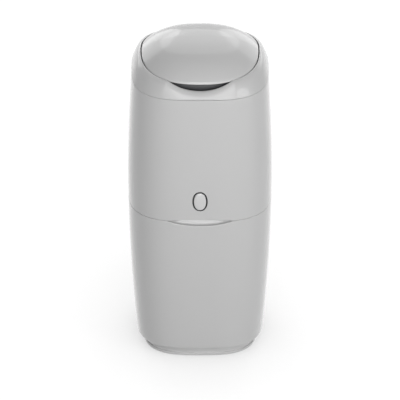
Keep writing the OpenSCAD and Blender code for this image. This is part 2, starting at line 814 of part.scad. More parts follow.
// A helical spring along X from x0 to x1, swept as one closed tube
spring_sides = 4;
spring_steps = 8;
module spring_x(x0, x1, d, wire, turns) {
    rows = turns * spring_steps;
    r = (d - wire) / 2;
    span = x1 - x0 - wire;
    rings = [
        for (k = [0 : rows])
        let (a = 360 * k / spring_steps, x = x0 + wire / 2 + span * k / rows)
        [
            for (j = [0 : spring_sides - 1])
            let (b = 360 * (j + 0.5) / spring_sides, q = r + wire / 2 * cos(b))
            [x + wire / 2 * sin(b), q * cos(a), q * sin(a)]
        ]
    ];
    skin(rings, false);
}

module springs(side) {
    color(steel) for (sy = [-1, 1])
        translate([0, sy * rod_y, rod_z]) mirror([side < 0 ? 1 : 0, 0, 0])
            spring_x(lug_x1 + spring_slack, post_x - spring_slack, spring_d, spring_wire, spring_turns);
}

module springs_left() {
    springs(-1);
}

module springs_right() {
    springs(1);
}

// One jaw on the right; the left one is its mirror image
module jaw() {
    x0 = lip_half_gap + lip_w;
    color(mid_grey) difference() {
        union() {
            translate([x0, -jaw_half_y, jaw_z]) cube([jaw_l - x0, 2 * jaw_half_y, jaw_t]);
            for (sy = [-1, 1])
                translate([lug_x0, sy > 0 ? jaw_half_y - jaw_lap : -rod_y - lug_half_y, jaw_z])
                    cube([lug_x1 - lug_x0, rod_y + lug_half_y - jaw_half_y + jaw_lap, jaw_t]);
            for (sy = [-1, 1])
                translate([lug_x0, sy * rod_y - lug_half_y, jaw_z])
                    cube([lug_x1 - lug_x0, 2 * lug_half_y, rod_z + lug_h - jaw_z]);
        }
        for (sy = [-1, 1])
            translate([0, sy * rod_y, rod_z]) rod_x(rod_d / 2 + pin_run, -cut_past, clamp_l);
    }
}

module jaw_lip() {
    color(rubber_grey) translate([lip_half_gap, -jaw_half_y, jaw_z])
        cube([lip_w, 2 * jaw_half_y, jaw_t + jaw_lip_over]);
}

module jaw_right() {
    jaw();
}

module jaw_lip_right() {
    jaw_lip();
}

module jaw_left() {
    mirror([1, 0, 0]) jaw();
}

module jaw_lip_left() {
    mirror([1, 0, 0]) jaw_lip();
}

// ---------------------------------------------------------------- film cutter
cutter_l = 36;
cutter_d = 12;
cutter_h = 9;
cutter_in = 11;
cutter_y = cutter_in - clamp_w / 2;
cutter_slot = 2;
slot_l = 24.2;
slot_h = 5.4;
blade_t = 0.8;
blade_h = 5;
blade_half = 8;
blade_drop = 7.2;
blade_z = cover_z - blade_drop;

module cutter_holder() {
    color(light_grey) difference() {
        translate([-cutter_l / 2, cutter_y - cutter_d / 2, cover_z - cutter_h])
            cube([cutter_l, cutter_d, cutter_h]);
        // the slot that the film is drawn through
        translate([-cutter_l / 2 - cut_past, cutter_y - cutter_slot / 2, cover_z - cutter_h - cut_past])
            cube([slot_l + cut_past, cutter_slot, slot_h + cut_past]);
        translate([-blade_half, cutter_y - blade_t / 2, blade_z]) cube([2 * blade_half, blade_t, blade_h]);
    }
}

module cutter_blade() {
    color(steel) translate([0, cutter_y + blade_t / 2, blade_z]) rotate([90, 0, 0])
        linear_extrude(blade_t)
            polygon([[-blade_half, 0], [blade_half, 0],
                     [blade_half, blade_h], [blade_h - blade_half, blade_h]]);
}

// ---------------------------------------------------------------- button and latch
bezel_fit = 0.1;
bezel_hw = button_hole_w / 2 - bezel_fit;
bezel_hh = button_hole_h / 2 - bezel_fit;
bezel_flange = 2;
bezel_seat = 0.8;
bezel_depth = 3;
bezel_back = wall_in_y + bezel_depth;
// how far the bezel's face stands back from the wall's
bezel_recess = 0.4;
button_hw = bezel_hw - bezel_t - button_gap;
button_hh = bezel_hh - bezel_t - button_gap;
button_crown_r = 70;
button_y0 = front_y - button_proud;
button_rim = 1.4;
button_rim_t = 1.6;
button_rim_gap = 0.3;
button_back = bezel_back + button_rim_gap + button_rim_t;

module button_bezel() {
    color(charcoal) difference() {
        union() {
            oval_y(bezel_hw, bezel_hh, front_y + bezel_recess, bezel_back);
            oval_y(bezel_hw + bezel_flange, bezel_hh + bezel_flange, wall_in_y + bezel_seat, bezel_back);
        }
        oval_y(bezel_hw - bezel_t, bezel_hh - bezel_t, front_y - cut_past, bezel_back + cut_past);
    }
}

module latch_button() {
    color(light_grey) union() {
        intersection() {
            oval_y(button_hw, button_hh, button_y0, button_back);
            translate([0, button_y0 + button_crown_r, button_z]) sphere(r = button_crown_r);
        }
        oval_y(button_hw + button_rim, button_hh + button_rim, button_back - button_rim_t, button_back);
    }
}

tooth_y = lip_back + striker_t + striker_tooth;
nose_y = tooth_y + nose_gap;
nose_l = 4.4;
nose_h = 4;
nose_under = 0.8;
nose_tip = 1.4;
nose_top = striker_top - striker_tooth_h - nose_under;
arm_y = nose_y + nose_l;
stem_h = 10;
stem_w = 12;
// how far the stem runs into the arm
stem_sunk = 1;
// room behind the hook once the button is pressed home
pressed_room = 8;
latch_spring_room = button_travel + pressed_room;
guide_back_y = arm_y + hook_t + latch_spring_room;
spring_peg_r = 2.6;
spring_peg_l = 4;
latch_spring_d = 8;
latch_spring_wire = 0.9;
latch_spring_turns = 5;
guide_ear_half = 6;

module latch_slider() {
    color(mid_grey) union() {
        // the stem behind the button
        translate([-stem_w / 2, button_back, button_z - stem_h / 2])
            cube([stem_w, arm_y - button_back + stem_sunk, stem_h]);
        // the arm down to the nose
        translate([-hook_w / 2, arm_y, nose_top - nose_h])
            cube([hook_w, hook_t, button_z + stem_h / 2 - nose_top + nose_h]);
        // the nose, with its ramp underneath
        translate([-hook_w / 2, arm_y + eps, nose_top]) rotate([90, 90, 90])
            linear_extrude(hook_w)
                polygon([[0, 0], [0, -nose_l - eps], [nose_tip, -nose_l - eps], [nose_h, 0]]);
    }
}

module latch_guide() {
    cheek_y0 = wall_in_y + guide_boss_l;
    cheek_out = guide_cheek_x + guide_cheek_t;
    ear_out = guide_x + guide_ear_half;
    back_in_y = guide_back_y - guide_cheek_t;
    color(mid_grey) difference() {
        union() {
            for (sx = [-1, 1]) {
                translate([sx > 0 ? guide_cheek_x : -cheek_out, cheek_y0, button_z - guide_h / 2])
                    cube([guide_cheek_t, guide_back_y - cheek_y0, guide_h]);
                translate([sx > 0 ? guide_cheek_x : -ear_out, cheek_y0, button_z - guide_h / 2])
                    cube([ear_out - guide_cheek_x, guide_ear_t, guide_h]);
            }
            translate([-cheek_out, back_in_y, button_z - guide_h / 2])
                cube([2 * cheek_out, guide_cheek_t, guide_h]);
            translate([0, 0, button_z]) rod_y(spring_peg_r, back_in_y - spring_peg_l, back_in_y + eps);
        }
        for (sx = [-1, 1])
            translate([sx * guide_x, 0, button_z])
                rod_y(screw_hole_d / 2, cheek_y0 - cut_past, cheek_y0 + guide_ear_t + cut_past);
    }
}

module guide_screws() {
    color(steel) for (sx = [-1, 1])
        translate([sx * guide_x, wall_in_y + guide_boss_l + guide_ear_t, button_z])
            rotate([90, 0, 0]) screw_up(guide_ear_t + guide_boss_l - tip_gap);
}

module latch_spring() {
    y0 = arm_y + hook_t + spring_slack;
    y1 = guide_back_y - guide_cheek_t - spring_slack;
    color(steel) translate([0, 0, button_z]) rotate([0, 0, 90])
        spring_x(y0, y1, latch_spring_d, latch_spring_wire, latch_spring_turns);
}

// ---------------------------------------------------------------- lid
// A ring of the dome, rho of the way out from its middle, on the outer or inner face
function dome_z(x, y, rho) =
    mix(rim_z, rim_at(y / max(rho, eps)), rho * rho) + dome_h * (1 - pow(rho, dome_power));
function dome_ring(rho, inset, below) = [
    for (p = outline(lid_w / 2 - inset, lid_d / 2 - inset, lid_power))
    [p[0] * rho, p[1] * rho, dome_z(p[0] * rho, p[1] * rho, rho) - below]
];
function cap_ring(rho, below) = [
    for (p = outline(lid_w / 2, lid_d / 2, lid_power))
    [p[0] * rho, p[1] * rho, dome_z(0, 0, rho) - below]
];
function lid_rho(x, y) =
    pow(pow(abs(x) / (lid_w / 2), lid_power) + pow(abs(y) / (lid_d / 2), lid_power), 1 / lid_power);

liner_inset = 5.5;
liner_t = 2.2;
seal_h = 6.4;
seal_gap = 0.3;
liner_z0 = tray_z + seal_gap + seal_h;
liner_skirt = 5;
liner_h = 9.5;
liner_plate_z = liner_z0 + liner_skirt;
liner_top = liner_z0 + liner_h;
seal_out = 0.6;
seal_in = 4;
lid_boss_x = 62;
lid_boss_y = 44;
lid_boss_r = screw_d / 2 + boss_wall;
lid_boss_gap = 0.4;
lid_boss_top = dome_z(lid_boss_x, lid_boss_y, lid_rho(lid_boss_x, lid_boss_y)) - lid_t - lid_boss_gap;
lid_drill = 14;
lid_pin_half = lid_side_x + collar_barrel_l - pin_sunk;

module lid_shell() {
    barrel_end = lid_barrel_l / 2 - pass_gap / 2;
    room_end = lid_side_x + collar_barrel_l + pass_gap;
    rings = concat(
        [cap_ring(0.1, lid_t)],
        [for (rho = [0.3, 0.5, 0.68, 0.82, 0.92]) dome_ring(rho, 0, lid_t * (1 + 0.35 * rho * rho))],
        [dome_ring(1, lid_t, lid_t + 0.2)],
        [dome_ring(1, 0.5, lid_t)],
        [dome_ring(1, 0, lid_t - 0.6)],
        [dome_ring(1, 0, 0.4)],
        [dome_ring(0.992, 0, 0)],
        [for (rho = [0.96, 0.91, 0.84, 0.74, 0.6, 0.42, 0.25]) dome_ring(rho, 0, 0)],
        [cap_ring(0.1, 0)]
    );
    color(light_grey) difference() {
        union() {
            difference() {
                skin(rings, false);
                // room for the collar's barrels
                for (sx = [-1, 1])
                    at_lid_hinge() rod_x(lid_barrel_r + pass_gap,
                                         sx > 0 ? barrel_end : -room_end,
                                         sx > 0 ? room_end : -barrel_end);
            }
            at_lid_hinge() rod_x(lid_barrel_r, -barrel_end, barrel_end);
            at_corners(lid_boss_x, lid_boss_y)
                translate([0, 0, liner_plate_z + liner_t])
                    cylinder(r = lid_boss_r, h = lid_boss_top - liner_plate_z - liner_t);
        }
        at_lid_hinge() rod_x(lid_pin_d / 2 + pin_run, -lid_pin_half, lid_pin_half);
        at_corners(lid_boss_x, lid_boss_y)
            translate([0, 0, liner_plate_z]) cylinder(d = screw_d, h = lid_drill);
    }
}

module lid_liner() {
    outer = outline(lid_w / 2 - liner_inset, lid_d / 2 - liner_inset, lid_power);
    inner = outline(lid_w / 2 - liner_inset - liner_t, lid_d / 2 - liner_inset - liner_t, lid_power);
    color(mid_grey) difference() {
        union() {
            difference() {
                translate([0, 0, liner_z0]) linear_extrude(liner_top - liner_z0) polygon(outer);
                translate([0, 0, liner_z0 - cut_past]) linear_extrude(liner_top) polygon(inner);
            }
            translate([0, 0, liner_plate_z]) linear_extrude(liner_t) polygon(outer);
        }
        at_corners(lid_boss_x, lid_boss_y) translate([0, 0, liner_plate_z - cut_past])
            cylinder(d = screw_hole_d, h = liner_t + 2 * cut_past);
    }
}

module lid_seal() {
    outer = outline(lid_w / 2 - liner_inset + seal_out, lid_d / 2 - liner_inset + seal_out, lid_power);
    inner = outline(lid_w / 2 - liner_inset - seal_in, lid_d / 2 - liner_inset - seal_in, lid_power);
    color(rubber_grey) difference() {
        translate([0, 0, tray_z + seal_gap]) linear_extrude(seal_h) polygon(outer);
        translate([0, 0, tray_z]) linear_extrude(seal_h + 2 * cut_past) polygon(inner);
    }
}

module lid_screws() {
    color(steel) at_corners(lid_boss_x, lid_boss_y)
        translate([0, 0, liner_plate_z]) screw_up(lid_drill - tip_gap);
}

module lid_hinge_pin() {
    color(steel) at_lid_hinge() rod_x(lid_pin_d / 2, -lid_pin_half, lid_pin_half);
}

lower_container();
base_plinth();
foot_pads();
base_screws();
rear_hinge_pin();
latch_striker();
striker_screws();
upper_housing();
collar();
top_screws();
cassette_tray();
cassette_case();
cassette_cap();
film_pack();
clamp_frame();
clamp_cover();
clamp_screws();
guide_rods();
springs_left();
springs_right();
cutter_holder();
cutter_blade();
button_bezel();
latch_guide();
guide_screws();
latch_spring();
lid_shell();
lid_liner();
lid_seal();
lid_screws();
lid_hinge_pin();
latch_button();
latch_slider();
jaw_left();
jaw_lip_left();
jaw_right();
jaw_lip_right();
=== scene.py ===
"""Nappy bin: smooth moulded shells, inner pieces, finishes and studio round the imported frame."""

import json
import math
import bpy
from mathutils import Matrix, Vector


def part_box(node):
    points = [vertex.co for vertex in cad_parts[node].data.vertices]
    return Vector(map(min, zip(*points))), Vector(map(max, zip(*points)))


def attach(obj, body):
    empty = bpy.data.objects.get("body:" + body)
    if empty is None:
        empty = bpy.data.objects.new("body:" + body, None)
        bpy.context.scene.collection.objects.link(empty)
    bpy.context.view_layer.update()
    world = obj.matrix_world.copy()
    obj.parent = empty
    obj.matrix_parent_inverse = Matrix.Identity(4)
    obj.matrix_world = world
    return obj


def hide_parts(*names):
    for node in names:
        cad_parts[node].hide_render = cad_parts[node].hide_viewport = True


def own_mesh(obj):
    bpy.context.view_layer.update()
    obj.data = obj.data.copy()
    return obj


bl_info = {
    "name": "Nappy Bin",
    "version": (1, 0, 0),
    "blender": (4, 5, 0),
    "location": "View3D > Sidebar > Nappy Bin",
    "description": "Builds a nappy bin with a domed lid, a film cassette, clamp jaws and a latch",
    "category": "Add Mesh",
}

import bmesh
import bpy
import numpy as np
from bpy.props import FloatProperty, IntProperty, PointerProperty, StringProperty
from mathutils import Matrix, Vector

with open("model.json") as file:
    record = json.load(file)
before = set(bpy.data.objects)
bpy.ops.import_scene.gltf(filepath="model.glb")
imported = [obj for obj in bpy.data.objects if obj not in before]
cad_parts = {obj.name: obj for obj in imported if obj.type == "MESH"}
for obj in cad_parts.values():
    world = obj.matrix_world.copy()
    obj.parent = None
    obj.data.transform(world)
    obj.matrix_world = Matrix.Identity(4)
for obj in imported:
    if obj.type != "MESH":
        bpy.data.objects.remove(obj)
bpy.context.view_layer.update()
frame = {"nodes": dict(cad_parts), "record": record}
MM = 0.001
RING = 288


def node_size(name, axis):
    """Length of a CAD node along an axis, in metres."""
    low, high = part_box(name)
    return high[axis] - low[axis]


# ---- sizes and colours
def length(label, value, text):
    return FloatProperty(name=label, default=value, description=text, unit="LENGTH", precision=4)


def number(label, value, text):
    return FloatProperty(name=label, default=value, description=text)


def colour(label, value, text):
    return StringProperty(name=label, default=value, description=text + ", as an sRGB hex value")


class BinBodySizes(bpy.types.PropertyGroup):
    """Sizes of the container, the housing and the base."""

    width: length("Width", node_size("upper_housing", 0), "Width at the waist")
    depth: length("Depth", 0.240, "Depth at the waist")
    waist_z: length("Waist height", 0.333, "Height at which the body is widest")
    foot_width: length("Foot width", 0.212, "Width that the taper reaches at the floor")
    shoulder_width: length("Shoulder width", 0.232, "Width at the collar's seam")
    plan_power: number("Plan roundness", 3.05, "Superellipse power of the body seen from above")
    wall: length("Wall", 0.003, "Wall thickness of the shells")
    seam_z: length("Seam height", 0.2785, "Height of the seam between container and housing")
    seam_gap: length("Seam gap", 0.0005, "Open gap at the seams")
    collar_z: length("Collar height", 0.511, "Height of the seam under the collar")
    scoop_half: length("Recess half width", 0.057, "Half the width of the finger recess in the seam")
    scoop_up: length("Arch rise", 0.0052, "How far the housing's edge arches up at the recess")
    scoop_down: length("Edge dip", 0.0075, "How far the container's edge dips at the recess")
    scoop_in: length("Recess depth", 0.005, "How far the lip stands back behind the recess")
    bottom_round: length("Bottom rounding", 0.006, "Radius of the container's bottom edge")
    plinth_inset: length("Base inset", 0.0105, "How far the base ring stands in from the foot")
    flange_out: length("Foot flange", 0.0018, "How far the foot flange stands out")
    flange_z: length("Flange height", 0.0065, "Height of the foot flange's top")
    edge_round: length("Edge rounding", 0.0007, "Radius on the moulded edges at the seams")


class BinTopSizes(bpy.types.PropertyGroup):
    """Sizes of the collar and the lid."""

    lid_width: length("Lid width", node_size("lid_shell", 0), "Width of the lid")
    lid_power: number("Lid roundness", 2.45, "Superellipse power of the lid seen from above")
    lid_gap: length("Lid gap", 0.0014, "Gap between lid and collar")
    lid_t: length("Lid wall", 0.0026, "Wall thickness of the lid")
    rim_z: length("Rim height", 0.546, "Height of the rim at the middle of the sides")
    rim_fall: length("Rim fall", 0.012, "How far the rim falls to the back")
    rim_fall_front: length("Front rim fall", 0.010, "How far the rim falls to the front")
    dome_h: length("Dome height", 0.0275, "Height of the dome above the rim")
    dome_power: number("Dome roundness", 3.4, "Power of the dome's profile")
    finger_half: length("Notch half width", 0.054, "Half the width of the finger notch")
    finger_drop: length("Notch depth", 0.0132, "Depth of the finger notch in the collar's edge")
    collar_t: length("Collar wall", 0.0026, "Wall thickness of the collar")
    shoulder_power: number("Shoulder roundness", 1.8, "Power of the shoulder's profile")


class BinInnerSizes(bpy.types.PropertyGroup):
    """Sizes of the springs, screws and film."""

    spring_d: length("Clamp spring", 0.012, "Outside diameter of the clamp springs")
    spring_wire: length("Spring wire", 0.0014, "Wire diameter of the clamp springs")
    spring_turns: IntProperty(name="Spring turns", default=9, description="Turns of a clamp spring")
    screw_d: length("Screw", 0.004, "Diameter of the screws")
    head_d: length("Screw head", 0.0075, "Diameter of the screw heads")
    head_h: length("Head height", 0.0026, "Height of the screw heads")
    film_folds: IntProperty(name="Film folds", default=26, description="Folds of film in the cassette")


class BinColours(bpy.types.PropertyGroup):
    """Colours of the finishes."""

    shell: colour("Shell", "#C2C2C2", "Light-grey moulded shells")
    button: colour("Button", "#CDCDCD", "Release button")
    # the liner's own mid grey, set darker so that the finger gap looks as dark as its shade: partly painted shade
    liner_and_gap_shade: colour("Liner", "#4A4B4D", "Inner mid-grey mouldings")
    tray: colour("Tray", "#2C2D2F", "Charcoal mouldings")
    rubber: colour("Rubber", "#242527", "Seals, jaw lips and foot pads")
    film: colour("Film", "#BFD3E0", "Odour-barrier film")
    steel: colour("Steel", "#C9CACD", "Zinc-plated screws, rods and springs")


class BinStudio(bpy.types.PropertyGroup):
    """Camera and surroundings."""

    elevation: FloatProperty(name="Camera height", default=math.radians(30), unit="ROTATION",
                             description="Camera's angle above the horizon")
    distance: length("Camera distance", 15.0, "Distance from the aim to the camera")
    aim_z: length("Aim height", 0.2532, "Height of the point that the camera looks at")
    view_width: length("View width", 0.682, "Width that the picture covers at the aim")
    sky: number("Surroundings", 0.15, "Brightness of the surroundings on the object")


# ---- small tools
def linear(hex_colour):
    """sRGB hex to linear RGBA."""
    values = [int(hex_colour[i:i + 2], 16) / 255 for i in (1, 3, 5)]
    return [v / 12.92 if v <= 0.04045 else ((v + 0.055) / 1.055) ** 2.4 for v in values] + [1.0]


def add(tree, kind, inputs=None, **settings):
    """Adds a node. inputs maps a socket's name or number to a value, another socket or a node's first output."""
    new = tree.nodes.new(kind)
    for key, value in settings.items():
        setattr(new, key, value)
    for key, value in (inputs or {}).items():
        if isinstance(value, bpy.types.Node):
            value = value.outputs[0]
        if isinstance(value, bpy.types.NodeSocket):
            tree.links.new(value, new.inputs[key])
        else:
            new.inputs[key].default_value = value
    return new


def cleared(holder):
    """The emptied node tree of a material or world."""
    holder.use_nodes = True
    holder.node_tree.nodes.clear()
    return holder.node_tree


def sizes(which):
    return getattr(bpy.context.scene, "nappy_bin_" + which)


def new_object(name, mesh):
    made = bpy.data.objects.new(name, mesh)
    bpy.context.scene.collection.objects.link(made)
    return made


def changed(mesh, *changes):
    """Runs the changes on the mesh as a bmesh."""
    bm = bmesh.new()
    bm.from_mesh(mesh)
    for change in changes:
        change(bm)
    bm.to_mesh(mesh)
    bm.free()


def face_out(bm):
    bmesh.ops.recalc_face_normals(bm, faces=bm.faces)


def baked(source):
    """The object's mesh with its modifiers applied."""
    depsgraph = bpy.context.evaluated_depsgraph_get()
    mesh = bpy.data.meshes.new_from_object(source.evaluated_get(depsgraph))
    source.modifiers.clear()
    old = source.data
    source.data = mesh
    if old.users == 0:
        bpy.data.meshes.remove(old)
    return source


def bevelled(piece, width, least=30):
    """Rounds the edges that turn by more than least degrees."""
    bevel = piece.modifiers.new("edges", "BEVEL")
    bevel.width, bevel.segments = width, 3
    bevel.limit_method, bevel.angle_limit = "ANGLE", math.radians(least)
    return baked(piece)


def joined(parts, name):
    """One object from several, none of which touch."""
    mesh = bpy.data.meshes.new(name)
    changed(mesh, lambda bm: [bm.from_mesh(part.data) for part in parts])
    for part in parts:
        bpy.data.objects.remove(part)
    return new_object(name, mesh)


def fuse(target, parts, operation="UNION"):
    """Adds the parts to the target."""
    tool = joined(parts, "tool")
    step = target.modifiers.new(operation, "BOOLEAN")
    step.operation, step.solver, step.object = operation, "EXACT", tool
    baked(target)
    bpy.data.objects.remove(tool)


def cut(target, parts):
    """Cuts the parts from the target."""
    fuse(target, parts, "DIFFERENCE")


def finish(piece, body, slot, *nodes, sharp=32):
    """Gives a piece its shading, finish and body, and hides the nodes that it stands for."""
    mesh = piece.data
    mesh.materials.clear()
    mesh.materials.append(finish_for(slot))
    mesh.polygons.foreach_set("material_index", [0] * len(mesh.polygons))
    mesh.shade_smooth()
    mesh.set_sharp_from_angle(angle=math.radians(sharp))
    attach(piece, body)
    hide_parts(*nodes)
    return piece


# ---- shapes
# superellipse power of the button and all that is round it
OVAL_POWER = 2.2


def outline(half_x, half_y, power):
    """Points of a superellipse at even angles, anticlockwise from +X."""
    t = np.arange(RING) * 2 * math.pi / RING
    c, s = np.cos(t), np.sin(t)
    r = (np.abs(c / half_x) ** power + np.abs(s / half_y) ** power) ** (-1 / power)
    return np.stack([r * c, r * s], 1)


def at_height(points, z):
    return np.column_stack([points, np.broadcast_to(z, len(points))])


def front_bump(points, half):
    """1 at the front's middle and 0 from half on, along x."""
    x, y = points[:, 0], points[:, 1]
    return np.where((y < 0) & (np.abs(x) < half), 1 - (x / half) ** 2, 0)


def skin(name, rings, closed=False, poles=False):
    """A surface over rings that go up outside and come down inside."""
    points = np.concatenate(rings)
    count, n = len(rings), len(rings[0])
    faces = []
    for k in range(count if closed else count - 1):
        a, b = k * n, (k + 1) % count * n
        faces += [(a + i, a + (i + 1) % n, b + (i + 1) % n, b + i) for i in range(n)]
    points = [tuple(p) for p in points]
    if poles:
        for k, turn in ((0, -1), (count - 1, 1)):
            points.append(tuple(np.mean(rings[k], 0)))
            pole, a = len(points) - 1, k * n
            faces += [(a + i, a + (i + 1) % n, pole)[::turn] for i in range(n)]
    mesh = bpy.data.meshes.new(name)
    mesh.from_pydata(points, [], faces)
    return new_object(name, mesh)


def body_half(z):
    """Half the body's width at a height: a parabola down to the floor and a fuller curve up to the shoulder."""
    s = sizes("body")
    taper, fuller = 2, 1.5
    if z < s.waist_z:
        return s.width / 2 - (s.width - s.foot_width) / 2 * ((s.waist_z - z) / s.waist_z) ** taper
    share = (z - s.waist_z) / (s.collar_z - s.waist_z)
    return s.width / 2 - (s.width - s.shoulder_width) / 2 * max(share, 0) ** fuller


def body_outline(z, inset):
    s = sizes("body")
    half = body_half(z)
    return outline(half - inset, half * s.depth / s.width - inset, s.plan_power)


def body_ring(z, inset, height=None):
    """The body's outline at z, laid at another height if one is given."""
    return at_height(body_outline(z, inset), z if height is None else height)


def edge_arc(r, steps=4):
    """(inset, drop) pairs of a rounded edge, from the wall to the top face."""
    angles = [math.pi / 2 * k / steps for k in range(steps + 1)]
    return [(r * (1 - math.cos(a)), r * (1 - math.sin(a))) for a in angles]


def turned(name, profile, place, sides=48):
    """A solid turned round an axis: profile is (distance along, radius) pairs, place a matrix."""
    bm = bmesh.new()
    rows = []
    for along, radius in profile:
        if radius < 1e-7:
            rows.append([bm.verts.new(place @ Vector((0, 0, along)))])
            continue
        turn = [2 * math.pi * i / sides for i in range(sides)]
        rows.append([bm.verts.new(place @ Vector((radius * math.cos(a), radius * math.sin(a), along)))
                     for a in turn])
    for low, high in zip(rows, rows[1:]):
        for i in range(sides):
            corners = [low[i % len(low)], low[(i + 1) % len(low)], high[(i + 1) % len(high)], high[i % len(high)]]
            bm.faces.new(list(dict.fromkeys(corners)))
    face_out(bm)
    mesh = bpy.data.meshes.new(name)
    bm.to_mesh(mesh)
    bm.free()
    return new_object(name, mesh)


def along_z(x, y, z):
    return Matrix.Translation((x, y, z))


def along_x(x, y, z):
    return along_z(x, y, z) @ Matrix.Rotation(math.pi / 2, 4, "Y")


def along_y(x, y, z):
    return along_z(x, y, z) @ Matrix.Rotation(-math.pi / 2, 4, "X")


def rod(length_, radius, place, edge=0.0):
    """A bar of the given length with slightly rounded ends."""
    arc = [(d, radius - i) for i, d in edge_arc(edge)] if edge else [(0, radius)]
    low = [(0, 0)] + arc[::-1]
    high = [(length_ - d, r) for d, r in arc] + [(length_, 0)]
    return turned("rod", low + high, place)


def rods_up(spots, z, length_, radius, edge=0.0):
    """Upright bars from z at the (x, y) spots."""
    return [rod(length_, radius, along_z(x, y, z), edge) for x, y in spots]


def block(low, high):
    """A box between two corners."""
    low, high = Vector(low), Vector(high)
    place = Matrix.LocRotScale((low + high) / 2, None, high - low)
    mesh = bpy.data.meshes.new("block")
    changed(mesh, lambda bm: bmesh.ops.create_cube(bm, size=1, matrix=place))
    return new_object("block", mesh)


def oval_skin(name, rows, z0, closed=False, egg=0.0):
    """A form over the button's ovals (half width, half height, y and the drop of its middle, if any), back to
    front. egg is how much wider the oval is above."""
    rings = []
    for half_w, half_h, y, *drop in rows:
        p = outline(half_w, half_h, OVAL_POWER)
        p[:, 0] *= 1 + egg * p[:, 1] / half_h
        rings.append(np.column_stack([-p[:, 0], np.full(len(p), y), p[:, 1] + z0 - sum(drop)]))
    made = skin(name, rings, closed, not closed)
    changed(made.data, face_out)
    return made


def four_spots(node, across=None):
    """(x, y) of a node's four like items at the corners, as wide as a screw head unless across says otherwise."""
    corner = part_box(node)[1]
    half = (across or sizes("inner").head_d) / 2
    return [(sx * (corner.x - half), sy * (corner.y - half)) for sx in (-1, 1) for sy in (-1, 1)]


def axis_of(pin):
    """(y, z) of a node's middle, such as a hinge pin's."""
    low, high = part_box(pin)
    return (low.y + high.y) / 2, (low.z + high.z) / 2


# ---- fixings and hinges
SCREW_R, SCREW_HOLE_R, BOSS_R = 2 * MM, 2.05 * MM, 4.6 * MM
# the latch guide's two screws stand this far either side of the middle
GUIDE_SIDES = (-24 * MM, 24 * MM)
# how far a cutting tool starts before the face that it cuts
PAST = 1 * MM
KNUCKLE_R, KNUCKLE_L, KNUCKLE_EDGE, PASS_GAP = 4.8 * MM, 22 * MM, 0.5 * MM, 0.4 * MM
KNUCKLE_STEP = KNUCKLE_L + PASS_GAP
CONTAINER_KNUCKLES, HOUSING_KNUCKLES = (-2, 0, 2), (-1, 1)
LEAF_H, LEAF_T, LEAF_SUNK, LEAF_EDGE, KNUCKLE_OUT = 20 * MM, 2.4 * MM, 1.5 * MM, 0.9 * MM, 3.2 * MM
PIN_R, PIN_RUN = 2 * MM, 0.06 * MM
LID_BARREL_R, LID_BARREL_L, COLLAR_BARREL_L, BARREL_EDGE = 4.6 * MM, 34 * MM, 14 * MM, 0.6 * MM
LID_SIDE = LID_BARREL_L / 2 + PASS_GAP / 2


def knuckles(which, room=False):
    """The rear hinge's knuckles, or the room that they turn in."""
    y, z = axis_of("rear_hinge_pin")
    extra, grow, edge = (PASS_GAP / 2, PASS_GAP, 0) if room else (0, 0, KNUCKLE_EDGE)
    return [rod(KNUCKLE_L + 2 * extra, KNUCKLE_R + grow,
                along_x(k * KNUCKLE_STEP - KNUCKLE_L / 2 - extra, y, z), edge) for k in which]


def leaves(which, upward):
    """The plates that carry the knuckles on the rear wall."""
    y, z = axis_of("rear_hinge_pin")
    z0, z1 = (z + PASS_GAP, z + LEAF_H) if upward else (z - LEAF_H, z - PASS_GAP)
    y -= KNUCKLE_OUT
    made = []
    for k in which:
        x = k * KNUCKLE_STEP
        leaf = block((x - KNUCKLE_L / 2, y - LEAF_SUNK, z0), (x + KNUCKLE_L / 2, y + LEAF_T, z1))
        made.append(bevelled(leaf, LEAF_EDGE))
    return made


def hinged(shell, own, others, upward, bore_r, solids, plates, cuts):
    """Adds the solids, the plates and the shell's own knuckles, and cuts the others' room, the pin's bore and the
    cuts."""
    fuse(shell, solids + knuckles(own))
    fuse(shell, plates + leaves(own, upward))
    cut(shell, knuckles(others, True))
    bore = rod(5 * KNUCKLE_STEP, bore_r, along_x(-2.5 * KNUCKLE_STEP, *axis_of("rear_hinge_pin")))
    cut(shell, [bore] + cuts)


# ---- finishes
def darker(colour_, share):
    return [v * (1 - share) for v in colour_[:3]] + [1.0]


def moulded(name, hex_colour, roughness, ior, grain_mm, grain, mottle=0.03, gloss=0.0):
    """A moulded plastic or rubber: fine spark-eroded grain in bump and roughness, slight mottling.
    gloss is the weight of the smooth skin that a polished mould leaves over the pigment."""
    material = bpy.data.materials.new(name)
    tree = cleared(material)
    place = add(tree, "ShaderNodeTexCoord").outputs["Object"]
    base = linear(hex_colour)
    # the mould's grain, drawn coarser than the real 0.1 mm so that it shows, and 0.05 mm deep
    grains = add(tree, "ShaderNodeTexNoise", {"Vector": place, "Scale": 1 / (grain_mm * MM), "Detail": 2.0})
    bump = add(tree, "ShaderNodeBump", {"Height": grains, "Strength": grain, "Distance": 0.05 * MM})
    # slow flow marks of the moulding, about 60 mm apart
    flow = add(tree, "ShaderNodeTexNoise", {"Vector": place, "Scale": 1 / (60 * MM), "Detail": 3.0})
    tint = add(tree, "ShaderNodeMix", {"Factor": flow, 6: darker(base, mottle), 7: base}, data_type="RGBA")
    spread = 0.03
    rough = add(tree, "ShaderNodeMapRange", {"Value": flow, "To Min": roughness - spread,
                                             "To Max": roughness + spread})
    shader = add(tree, "ShaderNodeBsdfPrincipled", {"Base Color": tint.outputs[2], "IOR": ior, "Roughness": rough,
                                                    "Normal": bump, "Coat Weight": gloss, "Coat Roughness": 0.1,
                                                    "Coat IOR": 1.4})
    add(tree, "ShaderNodeOutputMaterial", {"Surface": shader})
    return material


